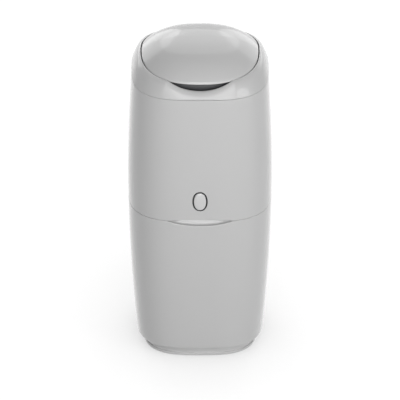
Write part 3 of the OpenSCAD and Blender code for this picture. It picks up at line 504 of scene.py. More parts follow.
def drawn_steel(name, hex_colour, roughness):
    """Zinc-plated steel: a slight crystalline mottle in colour and roughness, of crystals about 0.8 mm across."""
    material = bpy.data.materials.new(name)
    tree = cleared(material)
    place = add(tree, "ShaderNodeTexCoord").outputs["Object"]
    crystals = add(tree, "ShaderNodeTexVoronoi", {"Vector": place, "Scale": 1 / (0.8 * MM)})
    rough = add(tree, "ShaderNodeMapRange", {"Value": crystals, "To Min": roughness - 0.06,
                                             "To Max": roughness + 0.08})
    base = linear(hex_colour)
    tint = add(tree, "ShaderNodeMix", {"Factor": crystals, 6: base, 7: darker(base, 0.14)}, data_type="RGBA")
    shader = add(tree, "ShaderNodeBsdfPrincipled", {"Base Color": tint.outputs[2], "Metallic": 1.0,
                                                    "Roughness": rough})
    add(tree, "ShaderNodeOutputMaterial", {"Surface": shader})
    return material


def finish_for(slot):
    """The material of a slot, made once."""
    c = sizes("colours")
    table = {
        # name, function, colour, roughness, IOR, grain in millimetres, its strength, mottle and gloss
        # ABS off a polished mould: a satin body under a smooth skin that mirrors at a glancing angle
        "shell_grey": ("gloss ABS", moulded, c.shell, 0.36, 1.46, 0.7, 0.06, 0.02, 1.0),
        # the button's ABS: a tighter highlight
        "button_grey": ("polished ABS", moulded, c.button, 0.28, 1.53, 0.7, 0.04, 0.02, 1.0),
        # polypropylene: waxy, softer highlight
        # its grey is partly painted shade for the finger gap
        "mid_grey": ("moulded polypropylene", moulded, c.liner_and_gap_shade, 0.45, 1.49, 0.8, 0.16),
        # filled polypropylene: matt and dark
        "charcoal": ("filled polypropylene", moulded, c.tray, 0.52, 1.49, 0.8, 0.2),
        # soft elastomer: no clear highlight
        "rubber": ("thermoplastic elastomer", moulded, c.rubber, 0.7, 1.5, 0.9, 0.25),
        # blown polyethylene film, folded: slick with a milky tint
        "film": ("folded polyethylene film", moulded, c.film, 0.25, 1.51, 3.0, 0.4, 0.12),
        "steel": ("zinc-plated steel", drawn_steel, c.steel, 0.32),
    }
    name, make, *values = table[slot]
    return bpy.data.materials.get(name) or make(name, *values)


# ---- outer shells
class NAPPYBIN_OT_container(bpy.types.Operator):
    """Moulds the lower container with its lip and finger recess"""

    bl_idname = "nappybin.container"
    bl_label = "Container"

    def execute(self, context):
        s = sizes("body")
        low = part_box("lower_container")[0].z
        lip_h, lip_root, lip_t, lip_edge = 8 * MM, 14 * MM, 1.6 * MM, 0.4 * MM
        lip_outer = s.wall + 1 * MM
        lip_inner = lip_outer + lip_t

        def bottom(r, inset):
            return [body_ring(low + inset + r * (1 - math.cos(a)), inset + r * (1 - math.sin(a)))
                    for a in np.linspace(0, math.pi / 2, 8)]

        def lip(inset):
            p = body_outline(s.seam_z, inset)
            p[:, 1] += s.scoop_in * front_bump(p, s.scoop_half)
            return p

        edge = body_outline(s.seam_z, 0)
        dip = -s.scoop_down * front_bump(edge, s.scoop_half)
        rings = bottom(s.bottom_round, 0)
        # the outer wall, clear of the roundings at its ends
        rings += [body_ring(z, 0) for z in np.linspace(low + 20 * MM, s.seam_z - 14 * MM, 26)]
        rings += [body_ring(s.seam_z, i, s.seam_z + dip - d) for i, d in [(0, 3 * MM)] + edge_arc(s.edge_round)]
        # the ledge from the edge back to the lip, hollowed where the fingers go
        shelf, back, hollow = body_outline(s.seam_z, s.wall), lip(lip_outer), 1.7
        for t in np.linspace(0, 1, 7):
            rings.append(at_height(shelf * (1 - t) + back * t, s.seam_z + dip * (1 - t ** hollow)))
        top = s.seam_z + lip_h
        rings += [at_height(lip(lip_outer + i), top - d) for i, d in edge_arc(lip_edge, 3)]
        rings += [at_height(lip(lip_inner - i), top - d) for i, d in edge_arc(lip_edge, 3)[::-1]]
        rings += [at_height(lip(lip_inner), z) for z in (s.seam_z, s.seam_z - lip_root)]
        # the inner wall, from under the lip's slope down
        rings += [body_ring(z, s.wall) for z in np.linspace(s.seam_z - 35 * MM, 50 * MM, 16)]
        rings += bottom(s.bottom_round - s.wall, s.wall)[::-1]
        shell = skin("lower_container_shell", rings, False, True)
        bosses = rods_up(four_spots("base_screws"), low + s.wall / 2, 9 * MM, BOSS_R, 0.6 * MM)
        hinged(shell, CONTAINER_KNUCKLES, HOUSING_KNUCKLES, False, PIN_R, bosses, [], [])
        finish(shell, "lower", "shell_grey", "lower_container")
        return {"FINISHED"}


class NAPPYBIN_OT_base(bpy.types.Operator):
    """Moulds the base ring with its foot flange"""

    bl_idname = "nappybin.base"
    bl_label = "Base"

    def execute(self, context):
        s = sizes("body")
        low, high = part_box("base_plinth")
        half = s.foot_width / 2 - s.plinth_inset
        deep = half * s.depth / s.width
        web, grip, pad_d = 3 * MM, 4 * MM, 22 * MM
        web_low = high.z - web

        def ring(z, grow):
            return at_height(outline(half + grow, deep + grow, s.plan_power), z)

        # the flange's profile, in millimetres up from the floor, down from its top and in the crease above it
        rows = [(low.z, -s.wall)]
        rows += [(low.z + up * MM, s.flange_out - back * MM)
                 for up, back in ((0, 2.2), (0.3, 1.3), (1.0, 0.5), (2.0, 0.1), (3.0, 0))]
        rows += [(s.flange_z - down * MM, s.flange_out - back * MM)
                 for down, back in ((0.9, 0), (0.3, 0.25), (0, 0.8))]
        rows += [(s.flange_z + up * MM, out * MM) for up, out in ((0.05, 0.3), (0.4, 0.05), (1.0, 0))]
        rows += [(z, 0) for z in np.linspace(s.flange_z + 2 * MM, high.z - 0.6 * MM, 5)]
        rows += [(high.z, -0.5 * MM), (high.z, -half / 2), (web_low, -half / 2), (web_low, -s.wall)]
        shell = skin("base_plinth_ring", [ring(z, grow) for z, grow in rows], True)
        middle = outline(half / 2 + 1 * MM, deep / 2 + 1 * MM, s.plan_power)
        fuse(shell, [skin("middle", [at_height(middle, z) for z in (web_low, high.z)], False, True)])
        pad_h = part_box("foot_pads")[1].z
        fuse(shell, rods_up(four_spots("foot_pads", pad_d), pad_h, high.z - web / 2 - pad_h, pad_d / 2))
        # screw holes, wide enough for the head up to the grip
        under, over, head_r, seat = -20 * MM, 40 * MM, 4.25 * MM, web_low - grip
        profile = [(under, 0), (under, head_r), (seat, head_r), (seat, SCREW_HOLE_R), (over, SCREW_HOLE_R), (over, 0)]
        holes = [turned("hole", profile, along_z(*spot, 0)) for spot in four_spots("base_screws")]
        cut(shell, holes)
        finish(shell, "lower", "shell_grey", "base_plinth")
        return {"FINISHED"}


def button_place():
    """(y of the housing's front wall, z of the button's middle)."""
    s = sizes("body")
    z = axis_of("latch_button")[1]
    return -body_half(z) * s.depth / s.width, z


class NAPPYBIN_OT_housing(bpy.types.Operator):
    """Moulds the upper housing with its button hole"""

    bl_idname = "nappybin.housing"
    bl_label = "Upper housing"

    def execute(self, context):
        s = sizes("body")
        bottom, top = s.seam_z + s.seam_gap, s.collar_z - s.seam_gap / 2
        edge = body_outline(bottom, 0)
        arch = bottom + s.scoop_up * front_bump(edge, s.scoop_half)
        rings = [body_ring(bottom, i, arch + d) for i, d in edge_arc(s.edge_round)[::-1]]
        rings.append(at_height(edge, arch + 2.5 * MM))
        rings += [body_ring(z, 0) for z in np.linspace(bottom + 12 * MM, top - 4 * MM, 30)]
        rings += [body_ring(top, i, top - d) for i, d in edge_arc(s.edge_round)]
        rings.append(body_ring(top, s.wall))
        rings += [body_ring(z, s.wall) for z in np.linspace(top - 20 * MM, bottom + 20 * MM, 16)]
        rings.append(body_ring(bottom, s.wall, arch))
        shell = skin("upper_housing_shell", rings, True)
        front, button_z = button_place()
        inner = front + s.wall
        tray_t, web_h, web_t, stud_l = 2.6 * MM, 15 * MM, 2.6 * MM, 8 * MM
        boss_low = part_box("top_screws")[0].z + sizes("inner").head_h
        boss_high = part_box("cassette_tray")[1].z - tray_t
        spots = four_spots("top_screws")
        corner = body_outline(boss_low + web_h, s.wall / 2)
        corner = abs(corner[len(corner) // 8])
        webs = []
        for x, y in spots:
            # the web runs from the post into the middle of the wall's corner
            run_x = math.copysign(corner[0] - abs(x), x)
            run_y = math.copysign(corner[1] - abs(y), y)
            web = block((0, -web_t / 2, 0), (math.hypot(run_x, run_y), web_t / 2, web_h))
            web.data.transform(along_z(x, y, boss_low) @ Matrix.Rotation(math.atan2(run_y, run_x), 4, "Z"))
            webs.append(web)
        solids = rods_up(spots, boss_low, boss_high - boss_low, BOSS_R)
        solids += [rod(stud_l + s.wall / 2, BOSS_R, along_y(x, inner - s.wall / 2, button_z)) for x in GUIDE_SIDES]
        hole_w, hole_h, reach = 13 * MM, 18.75 * MM, 5 * MM
        cuts = [oval_skin("hole", [(hole_w, hole_h, y) for y in (front - reach, inner + reach)], button_z)]
        cuts += rods_up(spots, boss_low - PAST, 40 * MM, SCREW_HOLE_R)
        cuts += [rod(stud_l + PAST, SCREW_HOLE_R, along_y(x, inner + PAST, button_z)) for x in GUIDE_SIDES]
        hinged(shell, HOUSING_KNUCKLES, CONTAINER_KNUCKLES, True, PIN_R + PIN_RUN, solids, webs, cuts)
        finish(shell, "upper", "shell_grey", "upper_housing")
        return {"FINISHED"}


def rim_at(y):
    """Height of the rim between lid and collar."""
    t = sizes("top")
    fall, bend = np.where(y < 0, t.rim_fall_front, t.rim_fall), 1.3
    return t.rim_z - fall * np.minimum(np.abs(y) / (t.lid_width / 2), 1) ** bend


class NAPPYBIN_OT_collar(bpy.types.Operator):
    """Moulds the collar with its shoulder, finger notch and hinge barrels"""

    bl_idname = "nappybin.collar"
    bl_label = "Collar"

    def execute(self, context):
        s, t = sizes("body"), sizes("top")
        half = t.lid_width / 2 + t.lid_gap
        opening = outline(half, half, t.lid_power)
        well = outline(half + t.collar_t, half + t.collar_t, t.lid_power)
        edge_z = rim_at(opening[:, 1]) - t.finger_drop * front_bump(opening, t.finger_half)
        seam = body_outline(s.collar_z, 0)
        # the lap that the collar stands in the housing with
        lap_l, lap_outer, lap_inner = 8 * MM, s.wall + 0.3 * MM, s.wall + 1.9 * MM
        lap_low = s.collar_z - lap_l
        inner = body_outline(s.collar_z, lap_inner)
        bottom = s.collar_z + s.seam_gap / 2
        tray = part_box("cassette_tray")[1].z
        under = tray + 0.5 * MM
        shoulder_t = 3.2 * MM

        def shoulder(start, end, z0, below, w):
            z = z0 + (edge_z - below - z0) * (1 - (1 - w) ** t.shoulder_power)
            return at_height(start * (1 - w) + end * w, z)

        rings = [body_ring(s.collar_z, i, bottom + d) for i, d in edge_arc(s.edge_round)[::-1]]
        rings += [shoulder(seam, opening, bottom, 0, w) for w in
                  (0.06, 0.12, 0.2, 0.28, 0.36, 0.44, 0.52, 0.6, 0.68, 0.76, 0.83, 0.89, 0.94)]
        # the mouth's rounded edge and its wall down to the tray
        rings += [shoulder(seam, opening, bottom, below * MM, 1 - short) for short, below in
                  ((0.6 / 16, 0.03), (0.25 / 16, 0.15))]
        rings += [at_height(opening, edge_z - below * MM) for below in (0.5, 1.2)]
        rings += [at_height(opening, np.minimum(edge_z - 1.3 * MM, tray + share * (edge_z - tray)))
                  for share in (0.7, 0.35, 0)]
        # back under the shoulder and down the lap
        rings += [at_height(well, tray), at_height(well, edge_z - shoulder_t)]
        rings += [shoulder(inner, well, under, shoulder_t, w) for w in (0.8, 0.6, 0.4, 0.2)]
        rings += [at_height(inner, under), at_height(inner, lap_low)]
        rings += [body_ring(s.collar_z, lap_outer, z) for z in (lap_low, bottom)]
        shell = skin("collar_ring", rings, True)
        y, z = axis_of("lid_hinge_pin")
        room = rod(2 * LID_SIDE, LID_BARREL_R + PASS_GAP, along_x(-LID_SIDE, y, z))
        cut(shell, [room])
        far = -LID_SIDE - COLLAR_BARREL_L
        barrels = [rod(COLLAR_BARREL_L, LID_BARREL_R, along_x(x, y, z), BARREL_EDGE) for x in (LID_SIDE, far)]
        boss_h = 11 * MM
        spots = four_spots("top_screws")
        fuse(shell, barrels + rods_up(spots, tray, boss_h, BOSS_R))
        # the pin's bore is blind, and so are the screws'
        bore = rod(-2 * far - 2 * MM, PIN_R, along_x(far + 1 * MM, y, z))
        cut(shell, [bore] + rods_up(spots, tray - PAST, boss_h - 0.5 * MM, SCREW_R))
        finish(shell, "upper", "shell_grey", "collar")
        return {"FINISHED"}


class NAPPYBIN_OT_lid(bpy.types.Operator):
    """Moulds the domed lid with its hinge barrel and screw bosses"""

    bl_idname = "nappybin.lid"
    bl_label = "Lid"

    def execute(self, context):
        t = sizes("top")
        half = t.lid_width / 2
        rim = rim_at(outline(half, half, t.lid_power)[:, 1])

        def dome(rho, inset=0.0, below=0.0):
            p = outline(half - inset, half - inset, t.lid_power) * rho
            z = t.rim_z * (1 - rho ** 2) + rim * rho ** 2 + t.dome_h * (1 - rho ** t.dome_power)
            return at_height(p, z - below)

        # under the dome the wall thickens to the rim, whose edges are rounded, and then back over the dome
        rings = [dome(rho, 0, t.lid_t * (1 + 0.35 * rho ** 2))
                 for rho in (0.03, 0.15, 0.3, 0.45, 0.6, 0.72, 0.82, 0.9, 0.95)]
        rings.append(dome(1, t.lid_t, t.lid_t + 0.2 * MM))
        rings += [dome(1, i * MM, t.lid_t + d * MM) for i, d in ((1.0, 0.1), (0.3, -0.2), (0, -0.7))]
        rings += [dome(1, i * MM, d * MM) for i, d in ((0, 1.1), (0.12, 0.5), (0.45, 0.12))]
        rings += [dome(rho) for rho in (0.992, 0.98, 0.96, 0.93, 0.89, 0.84, 0.78, 0.71, 0.63, 0.54, 0.45, 0.35,
                                        0.25, 0.15, 0.07, 0.03)]
        shell = skin("lid_shell_dome", rings, False, True)
        y, z = axis_of("lid_hinge_pin")
        # the collar's barrels turn in room that starts just past the ends of the lid's own
        side = LID_BARREL_L / 2 - PASS_GAP / 2
        start, end = side + 0.1 * MM, LID_SIDE + COLLAR_BARREL_L + PASS_GAP
        cut(shell, [rod(end - start, LID_BARREL_R + PASS_GAP, along_x(x, y, z)) for x in (start, -end)])
        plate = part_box("lid_screws")[0].z + sizes("inner").head_h
        boss_low, boss_high = plate + 2.2 * MM, t.rim_z + 12 * MM
        spots = four_spots("lid_screws")
        barrel = rod(2 * side, LID_BARREL_R, along_x(-side, y, z), BARREL_EDGE)
        fuse(shell, rods_up(spots, boss_low, boss_high - boss_low, BOSS_R) + [barrel])
        bore = rod(2 * LID_SIDE, PIN_R + PIN_RUN, along_x(-LID_SIDE, y, z))
        cut(shell, [bore] + rods_up(spots, plate, 14 * MM, SCREW_R))
        finish(shell, "lid", "shell_grey", "lid_shell")
        return {"FINISHED"}


# ---- inner mouldings
def extruded(name, outer, inner, z0, z1, edge=0.4 * MM):
    """A flat ring, or a plate where inner is None, between two heights, with rounded edges. outer holds the half
    sizes and the power, and inner the half sizes."""
    half_x, half_y, power = outer
    arc = edge_arc(edge, 3)

    def loops(x, y, side):
        """Rounded from z0's face to z1's, with the edge drawn in or out."""
        return [at_height(outline(x + side * i, y + side * i, power), z) for i, z in
                [(i, z0 + d) for i, d in arc[::-1]] + [(i, z1 - d) for i, d in arc]]

    rings = loops(half_x, half_y, -1)
    if inner is None:
        return skin(name, rings, False, True)
    return skin(name, rings + loops(*inner, 1)[::-1], True)


class NAPPYBIN_OT_lid_inside(bpy.types.Operator):
    """Moulds the lid's liner and its seal"""

    bl_idname = "nappybin.lid_inside"
    bl_label = "Lid liner and seal"

    def execute(self, context):
        t = sizes("top")
        low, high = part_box("lid_liner")
        outer, wall = t.lid_width / 2 - 5.5 * MM, 2.2 * MM

        def part(name, out, thick, z0, z1, *edge):
            inner = thick and (out - thick, out - thick)
            return extruded(name, (out, out, t.lid_power), inner, z0, z1, *edge)

        skirt = part("lid_liner_tray", outer, wall, low.z, high.z)
        plate_z = low.z + 5 * MM
        fuse(skirt, [part("plate", outer - 0.5 * MM, None, plate_z, plate_z + wall, 0.2 * MM)])
        # stiffening ribs under the plate
        fuse(skirt, [part("rib", outer * share, 1.4 * MM, plate_z - 1.2 * MM, plate_z + 0.4 * MM, 0.3 * MM)
                        for share in (0.82, 0.5)])
        cut(skirt, rods_up(four_spots("lid_screws"), plate_z - 2 * MM, 6 * MM, SCREW_HOLE_R))
        finish(skirt, "lid", "mid_grey", "lid_liner")
        low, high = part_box("lid_seal")
        seal = part("lid_seal_ring", (high.x - low.x) / 2, 4.6 * MM, low.z, high.z, 1.1 * MM)
        finish(seal, "lid", "rubber", "lid_seal")
        return {"FINISHED"}


class NAPPYBIN_OT_tray(bpy.types.Operator):
    """Moulds the tray that holds the cassette"""

    bl_idname = "nappybin.tray"
    bl_label = "Cassette tray"

    def execute(self, context):
        low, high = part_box("cassette_tray")
        tray_t, well_r, well_h, throat_r, well_edge, sides = 2.6 * MM, 89 * MM, 51 * MM, 52 * MM, 2 * MM, 160
        floor = high.z - well_h
        clamp_top = floor - tray_t
        cup_r, cup_h = well_r + tray_t, well_h + tray_t / 2
        flange = extruded("cassette_tray_well", ((high.x - low.x) / 2, (high.y - low.y) / 2, sizes("body").plan_power),
                          None, high.z - tray_t, high.z)
        cup = turned("cup", [(0, 0), (0, cup_r - well_edge), (well_edge, cup_r), (cup_h, cup_r), (cup_h, 0)],
                     along_z(0, 0, clamp_top), sides)
        clamp_spots = four_spots("clamp_screws")
        fuse(flange, [cup])
        fuse(flange, rods_up(clamp_spots, low.z, floor - tray_t / 2 - low.z, BOSS_R))
        # the well, with its foot rounded and its mouth a little wider
        mouth_r, past = well_r + 1.2 * MM, well_h + 9 * MM
        hollow = turned("hollow", [(0, 0), (0, well_r - well_edge), (0.6 * MM, well_r - 0.6 * MM), (well_edge, well_r),
                                   (well_h - 1.1 * MM, well_r), (well_h, mouth_r), (past, mouth_r), (past, 0)],
                        along_z(0, 0, floor), sides)
        drills = rods_up(four_spots("top_screws"), high.z - tray_t - PAST, tray_t + 2 * PAST, SCREW_HOLE_R)
        cut(flange, [hollow] + drills)
        throat = turned("throat", [(0, 0), (0, throat_r), (2 * throat_r, throat_r), (2 * throat_r, 0)],
                        along_z(0, 0, clamp_top - PAST), 128)
        blind = rods_up(clamp_spots, low.z - PAST, clamp_top - low.z + PAST, SCREW_R)
        cut(flange, [throat] + blind)
        finish(flange, "upper", "charcoal", "cassette_tray")
        return {"FINISHED"}


class NAPPYBIN_OT_button(bpy.types.Operator):
    """Moulds the release button and the ring round it"""

    bl_idname = "nappybin.button"
    bl_label = "Button"

    def execute(self, context):
        low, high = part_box("latch_button")
        front, z = button_place()
        half_w, half_h, egg, edge = 10.3 * MM, 16.05 * MM, 0.02, 0.9 * MM
        back, face = high.y, low.y
        # the rim that holds it in, and the radius of its crowned face, which is drawn a little flatter
        rim, rim_t, crown, flatter = 1.4 * MM, 1.6 * MM, 70 * MM, 0.8
        rows = [(half_w + grow, half_h + grow, back - forward)
                for grow, forward in ((rim, 0), (rim, rim_t), (0, rim_t))]

        def crowned(share):
            return face + (crown - math.sqrt(crown ** 2 - (share * half_h) ** 2)) * flatter

        rows += [(half_w - i, half_h - i, crowned(1) + d) for i, d in edge_arc(edge, 6)]
        rows += [(half_w * share, half_h * share, crowned(share)) for share in (0.9, 0.8, 0.65, 0.5, 0.35, 0.2, 0.08)]
        # the button stands a little low in its ring
        drop = 0.7 * MM
        button = oval_skin("release_button", rows, z - drop, egg=egg)
        finish(button, "latch", "button_grey", "latch_button", sharp=40)
        seat = front + sizes("body").wall + 0.8 * MM
        out_w, out_h, width, flange = 12.9 * MM, 18.65 * MM, 2.2 * MM, 2 * MM
        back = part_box("button_bezel")[1].y
        # how much wider than the hole, where along y, and how low
        steps = ((-width, back, drop), (flange, back, 0), (flange, seat, 0), (0, seat, 0), (0, front + 1.2 * MM, 0),
                 (-0.15 * MM, front + 1 * MM, 0), (-0.4 * MM, front + 1 * MM, 0), (-width, front + 2.2 * MM, drop))
        ring = oval_skin("button_surround", [(out_w + grow, out_h + grow, y, down) for grow, y, down in steps], z, True)
        finish(ring, "upper", "charcoal", "button_bezel", sharp=40)
        return {"FINISHED"}


# ---- repeated pieces
def node_tree(name, **sockets):
    """A geometry tree with a Geometry input and output and the named inputs, each with its default or its kind."""
    tree = bpy.data.node_groups.new(name, "GeometryNodeTree")
    for way in ("OUTPUT", "INPUT"):
        tree.interface.new_socket("Geometry", in_out=way, socket_type="NodeSocketGeometry")
    keys = {}
    for label, value in sockets.items():
        kind = {float: "NodeSocketFloat", int: "NodeSocketInt", str: "NodeSocketMaterial"}[type(value)]
        item = tree.interface.new_socket(label, in_out="INPUT", socket_type=kind)
        if not isinstance(value, str):
            item.default_value = value
        keys[label] = item.identifier
    return tree, keys, add(tree, "NodeGroupInput").outputs


def close_tree(tree, geometry, material):
    """Ends a geometry tree in real geometry with its material."""
    real = add(tree, "GeometryNodeRealizeInstances", {"Geometry": geometry})
    done = add(tree, "GeometryNodeSetMaterial", {"Geometry": real, "Material": material})
    add(tree, "NodeGroupOutput", {0: done})


def run_tree(piece, tree, keys, **values):
    """Runs a geometry tree on an object and keeps the mesh."""
    step = piece.modifiers.new("nodes", "NODES")
    step.node_group = tree
    for label, value in values.items():
        step[keys[label]] = value
    return baked(piece)


def grown(name, tree, keys, points=(), **values):
    """Runs a geometry tree on an object made of the given points."""
    mesh = bpy.data.meshes.new(name)
    mesh.from_pydata([tuple(p) for p in points], [], [])
    return run_tree(new_object(name, mesh), tree, keys, **values)


def spring_tree():
    """A coil of round wire along +X with closed, flattened end turns."""
    tree, keys, given = node_tree("Coil spring", Length=60 * MM, Diameter=12 * MM, Wire=1.4 * MM, Turns=9.0,
                                  Finish="material")
    radius = add(tree, "ShaderNodeMath", {0: given["Diameter"], 1: given["Wire"]}, operation="SUBTRACT")
    radius = add(tree, "ShaderNodeMath", {0: radius, 1: 0.5}, operation="MULTIPLY")
    span = add(tree, "ShaderNodeMath", {0: given["Length"], 1: given["Wire"]}, operation="SUBTRACT")
    coil = add(tree, "GeometryNodeCurveSpiral", {"Resolution": 28, "Rotations": given["Turns"], "Height": 1.0,
                                                 "Start Radius": radius, "End Radius": radius})
    # the end turns lie close together and the middle ones open out
    place = add(tree, "GeometryNodeInputPosition")
    split = add(tree, "ShaderNodeSeparateXYZ", {"Vector": place}).outputs
    eased = add(tree, "ShaderNodeMapRange", {"Value": split["Z"]}, interpolation_type="SMOOTHSTEP")
    straight = add(tree, "ShaderNodeMath", {0: split["Z"], 1: 0.35}, operation="MULTIPLY")
    both = add(tree, "ShaderNodeMath", {0: eased, 1: 0.65, 2: straight}, operation="MULTIPLY_ADD")
    half = add(tree, "ShaderNodeMath", {0: given["Wire"], 1: 0.5}, operation="MULTIPLY")
    along = add(tree, "ShaderNodeMath", {0: both, 1: span}, operation="MULTIPLY")
    along = add(tree, "ShaderNodeMath", {0: along, 1: half}, operation="ADD")
    spot = add(tree, "ShaderNodeCombineXYZ", {"X": along, "Y": split["X"], "Z": split["Y"]})
    laid = add(tree, "GeometryNodeSetPosition", {"Geometry": coil, "Position": spot})
    section = add(tree, "GeometryNodeCurvePrimitiveCircle", {"Resolution": 10, "Radius": half})
    wire = add(tree, "GeometryNodeCurveToMesh", {"Curve": laid, "Profile Curve": section, "Fill Caps": True})
    close_tree(tree, wire, given["Finish"])
    return tree, keys


class NAPPYBIN_OT_springs(bpy.types.Operator):
    """Winds the clamp springs and the latch spring"""

    bl_idname = "nappybin.springs"
    bl_label = "Springs"

    def execute(self, context):
        n = sizes("inner")
        tree, keys = spring_tree()
        steel = finish_for("steel")
        for side in ("left", "right"):
            name = "springs_" + side
            low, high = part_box(name)
            length_, r = high.x - low.x, n.spring_d / 2
            coils = []
            for y in (low.y + r, high.y - r):
                coil = grown("coil", tree, keys, Length=length_, Diameter=n.spring_d, Wire=n.spring_wire,
                             Turns=float(n.spring_turns), Finish=steel)
                coil.data.transform(along_z(low.x, y, (low.z + high.z) / 2))
                coils.append(coil)
            pair = finish(joined(coils, name + "_wound"), "upper", "steel", name, sharp=60)
            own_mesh(pair)
        low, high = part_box("latch_spring")
        length_ = high.y - low.y
        coil = grown("latch_spring_wound", tree, keys, Length=length_, Diameter=8 * MM, Wire=0.9 * MM, Turns=5.0,
                     Finish=steel)
        coil.data.transform(along_z(0, low.y, (low.z + high.z) / 2) @ Matrix.Rotation(math.pi / 2, 4, "Z"))
        finish(coil, "upper", "steel", "latch_spring", sharp=60)
        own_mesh(coil)
        return {"FINISHED"}


def screw_tree():
    """Pan-head screws with a hexagon socket, standing up at the points of the input."""
    tree, keys, given = node_tree("Screws", Length=10 * MM, Diameter=4 * MM, Head=7.5 * MM, Rise=2.6 * MM,
                                  Finish="material")

    def cylinder(sides, diameter, share, depth, lift):
        """share is the radius over the diameter, and lift the middle's height over the depth."""
        radius, height = (add(tree, "ShaderNodeMath", {0: given[key], 1: factor}, operation="MULTIPLY")
                          for key, factor in ((diameter, share), (depth, lift)))
        made = add(tree, "GeometryNodeMeshCylinder", {"Vertices": sides, "Radius": radius, "Depth": given[depth]})
        spot = add(tree, "ShaderNodeCombineXYZ", {"Z": height})
        return add(tree, "GeometryNodeTransform", {"Geometry": made, "Translation": spot})

    head, socket = cylinder(40, "Head", 0.5, "Rise", -0.5), cylinder(6, "Diameter", 0.3, "Rise", -1.0)
    head = add(tree, "GeometryNodeMeshBoolean", {"Mesh 1": head, "Mesh 2": socket}, operation="DIFFERENCE")
    whole = add(tree, "GeometryNodeJoinGeometry", {0: head})
    tree.links.new(cylinder(32, "Diameter", 0.5, "Length", 0.5).outputs[0], whole.inputs[0])
    pins = add(tree, "GeometryNodeMeshToPoints", {"Mesh": given["Geometry"]})
    placed = add(tree, "GeometryNodeInstanceOnPoints", {"Points": pins, "Instance": whole})
    close_tree(tree, placed, given["Finish"])
    return tree, keys


class NAPPYBIN_OT_screws(bpy.types.Operator):
    """Sets the screws of the base, clamp, collar, lid, striker and latch guide"""

    bl_idname = "nappybin.screws"
    bl_label = "Screws"

    def execute(self, context):
        n = sizes("inner")
        tree, keys = screw_tree()
        groups = (("base_screws", "lower", True), ("top_screws", "upper", True), ("clamp_screws", "upper", True),
                  ("lid_screws", "lid", True), ("striker_screws", "lower", False), ("guide_screws", "upper", False))
        for name, body, upright in groups:
            low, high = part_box(name)
            if upright:
                spots = [(*spot, 0) for spot in four_spots(name)]
                long = high.z - low.z - n.head_h
                place = along_z(0, 0, low.z + n.head_h)
            else:
                x = high.x - n.head_d / 2
                spots = [(-x, 0, 0), (x, 0, 0)]
                long = high.y - low.y - n.head_h
                place = along_z(0, high.y - n.head_h, (low.z + high.z) / 2) @ Matrix.Rotation(math.pi / 2, 4, "X")
            piece = grown(name + "_set", tree, keys, spots, Length=long, Diameter=n.screw_d, Head=n.head_d,
                          Rise=n.head_h, Finish=finish_for("steel"))
            piece.data.transform(place)
            finish(piece, body, "steel", name, sharp=30)
        return {"FINISHED"}


def film_tree():
    """A stack of folds, each turned at random about the cassette's axis."""
    tree, keys, given = node_tree("Folded film", Folds=26, Height=38 * MM, Finish="material")
    step = add(tree, "ShaderNodeMath", {0: given["Height"], 1: given["Folds"]}, operation="DIVIDE")
    up = add(tree, "ShaderNodeCombineXYZ", {"Z": step})
    line = add(tree, "GeometryNodeMeshLine", {"Count": given["Folds"], "Offset": up})
    turn = add(tree, "FunctionNodeRandomValue", {2: 0.0, 3: 6.28, "Seed": 7}, data_type="FLOAT")
    spin = add(tree, "ShaderNodeCombineXYZ", {"Z": turn.outputs[1]})
    pins = add(tree, "GeometryNodeMeshToPoints", {"Mesh": line})
    placed = add(tree, "GeometryNodeInstanceOnPoints", {"Points": pins, "Instance": given["Geometry"],
                                                        "Rotation": spin})
    close_tree(tree, placed, given["Finish"])
    return tree, keys


class NAPPYBIN_OT_film(bpy.types.Operator):
    """Folds the film into its cassette"""

    bl_idname = "nappybin.film"
    bl_label = "Film"

    def execute(self, context):
        n = sizes("inner")
        low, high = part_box("film_pack")
        inner, outer = 61 * MM, (high.x - low.x) / 2
        step = (high.z - low.z) / n.film_folds
        # how many waves the wall's side and the folds have round the cassette
        sides, wall_waves, fold_waves = 120, 5, 9
        t = np.arange(sides) * 2 * math.pi / sides
        wave = 0.35 * MM * np.abs(np.sin(wall_waves * t + 1))
        # one fold, as a flat lens: a fold's end and its creases, in millimetres from the wall and shares of the step
        inside = ((0, 0.5), (0.9, 0.14), (4, 0.04))
        outside = ((4, 0.04), (0.9, 0.14), (0.2, 0.5), (0.9, 0.86), (4, 0.95))
        profile = [(inner + i * MM, 0, rise) for i, rise in inside]
        profile += [(outer - i * MM, 1, rise) for i, rise in outside]
        profile += [(inner + i * MM, 0, rise) for i, rise in ((4, 0.95), (0.9, 0.86))]
        rings = []
        for radius, uneven, rise in profile:
            r = radius - wave * uneven
            z = step * (rise * 0.94 + 0.03 * np.sin(fold_waves * t))
            rings.append(np.column_stack([r * np.cos(t), r * np.sin(t), z]))
        fold = skin("fold", rings[::-1], True)
        changed(fold.data, face_out)
        tree, keys = film_tree()
        film = run_tree(fold, tree, keys, Folds=n.film_folds, Height=high.z - low.z, Finish=finish_for("film"))
        film.name = "folded_film"
        film.data.transform(along_z(0, 0, low.z + 0.1 * MM))
        finish(film, "upper", "film", "film_pack", sharp=50)
        return {"FINISHED"}


# ---- mouldings kept from the frame
# the radius on each one's edges, in millimetres
EDGES = {"foot_pads": 0.8, "latch_striker": 0.4, "rear_hinge_pin": 0.3, "cassette_case": 0.5, "cassette_cap": 0.5,
         "clamp_frame": 0.5, "clamp_cover": 0.5, "guide_rods": 0.4, "cutter_holder": 0.6, "cutter_blade": 0,
         "latch_guide": 0.4, "lid_hinge_pin": 0.3, "latch_slider": 0.5, "jaw_left": 0.5, "jaw_right": 0.5,
         "jaw_lip_left": 0.9, "jaw_lip_right": 0.9}


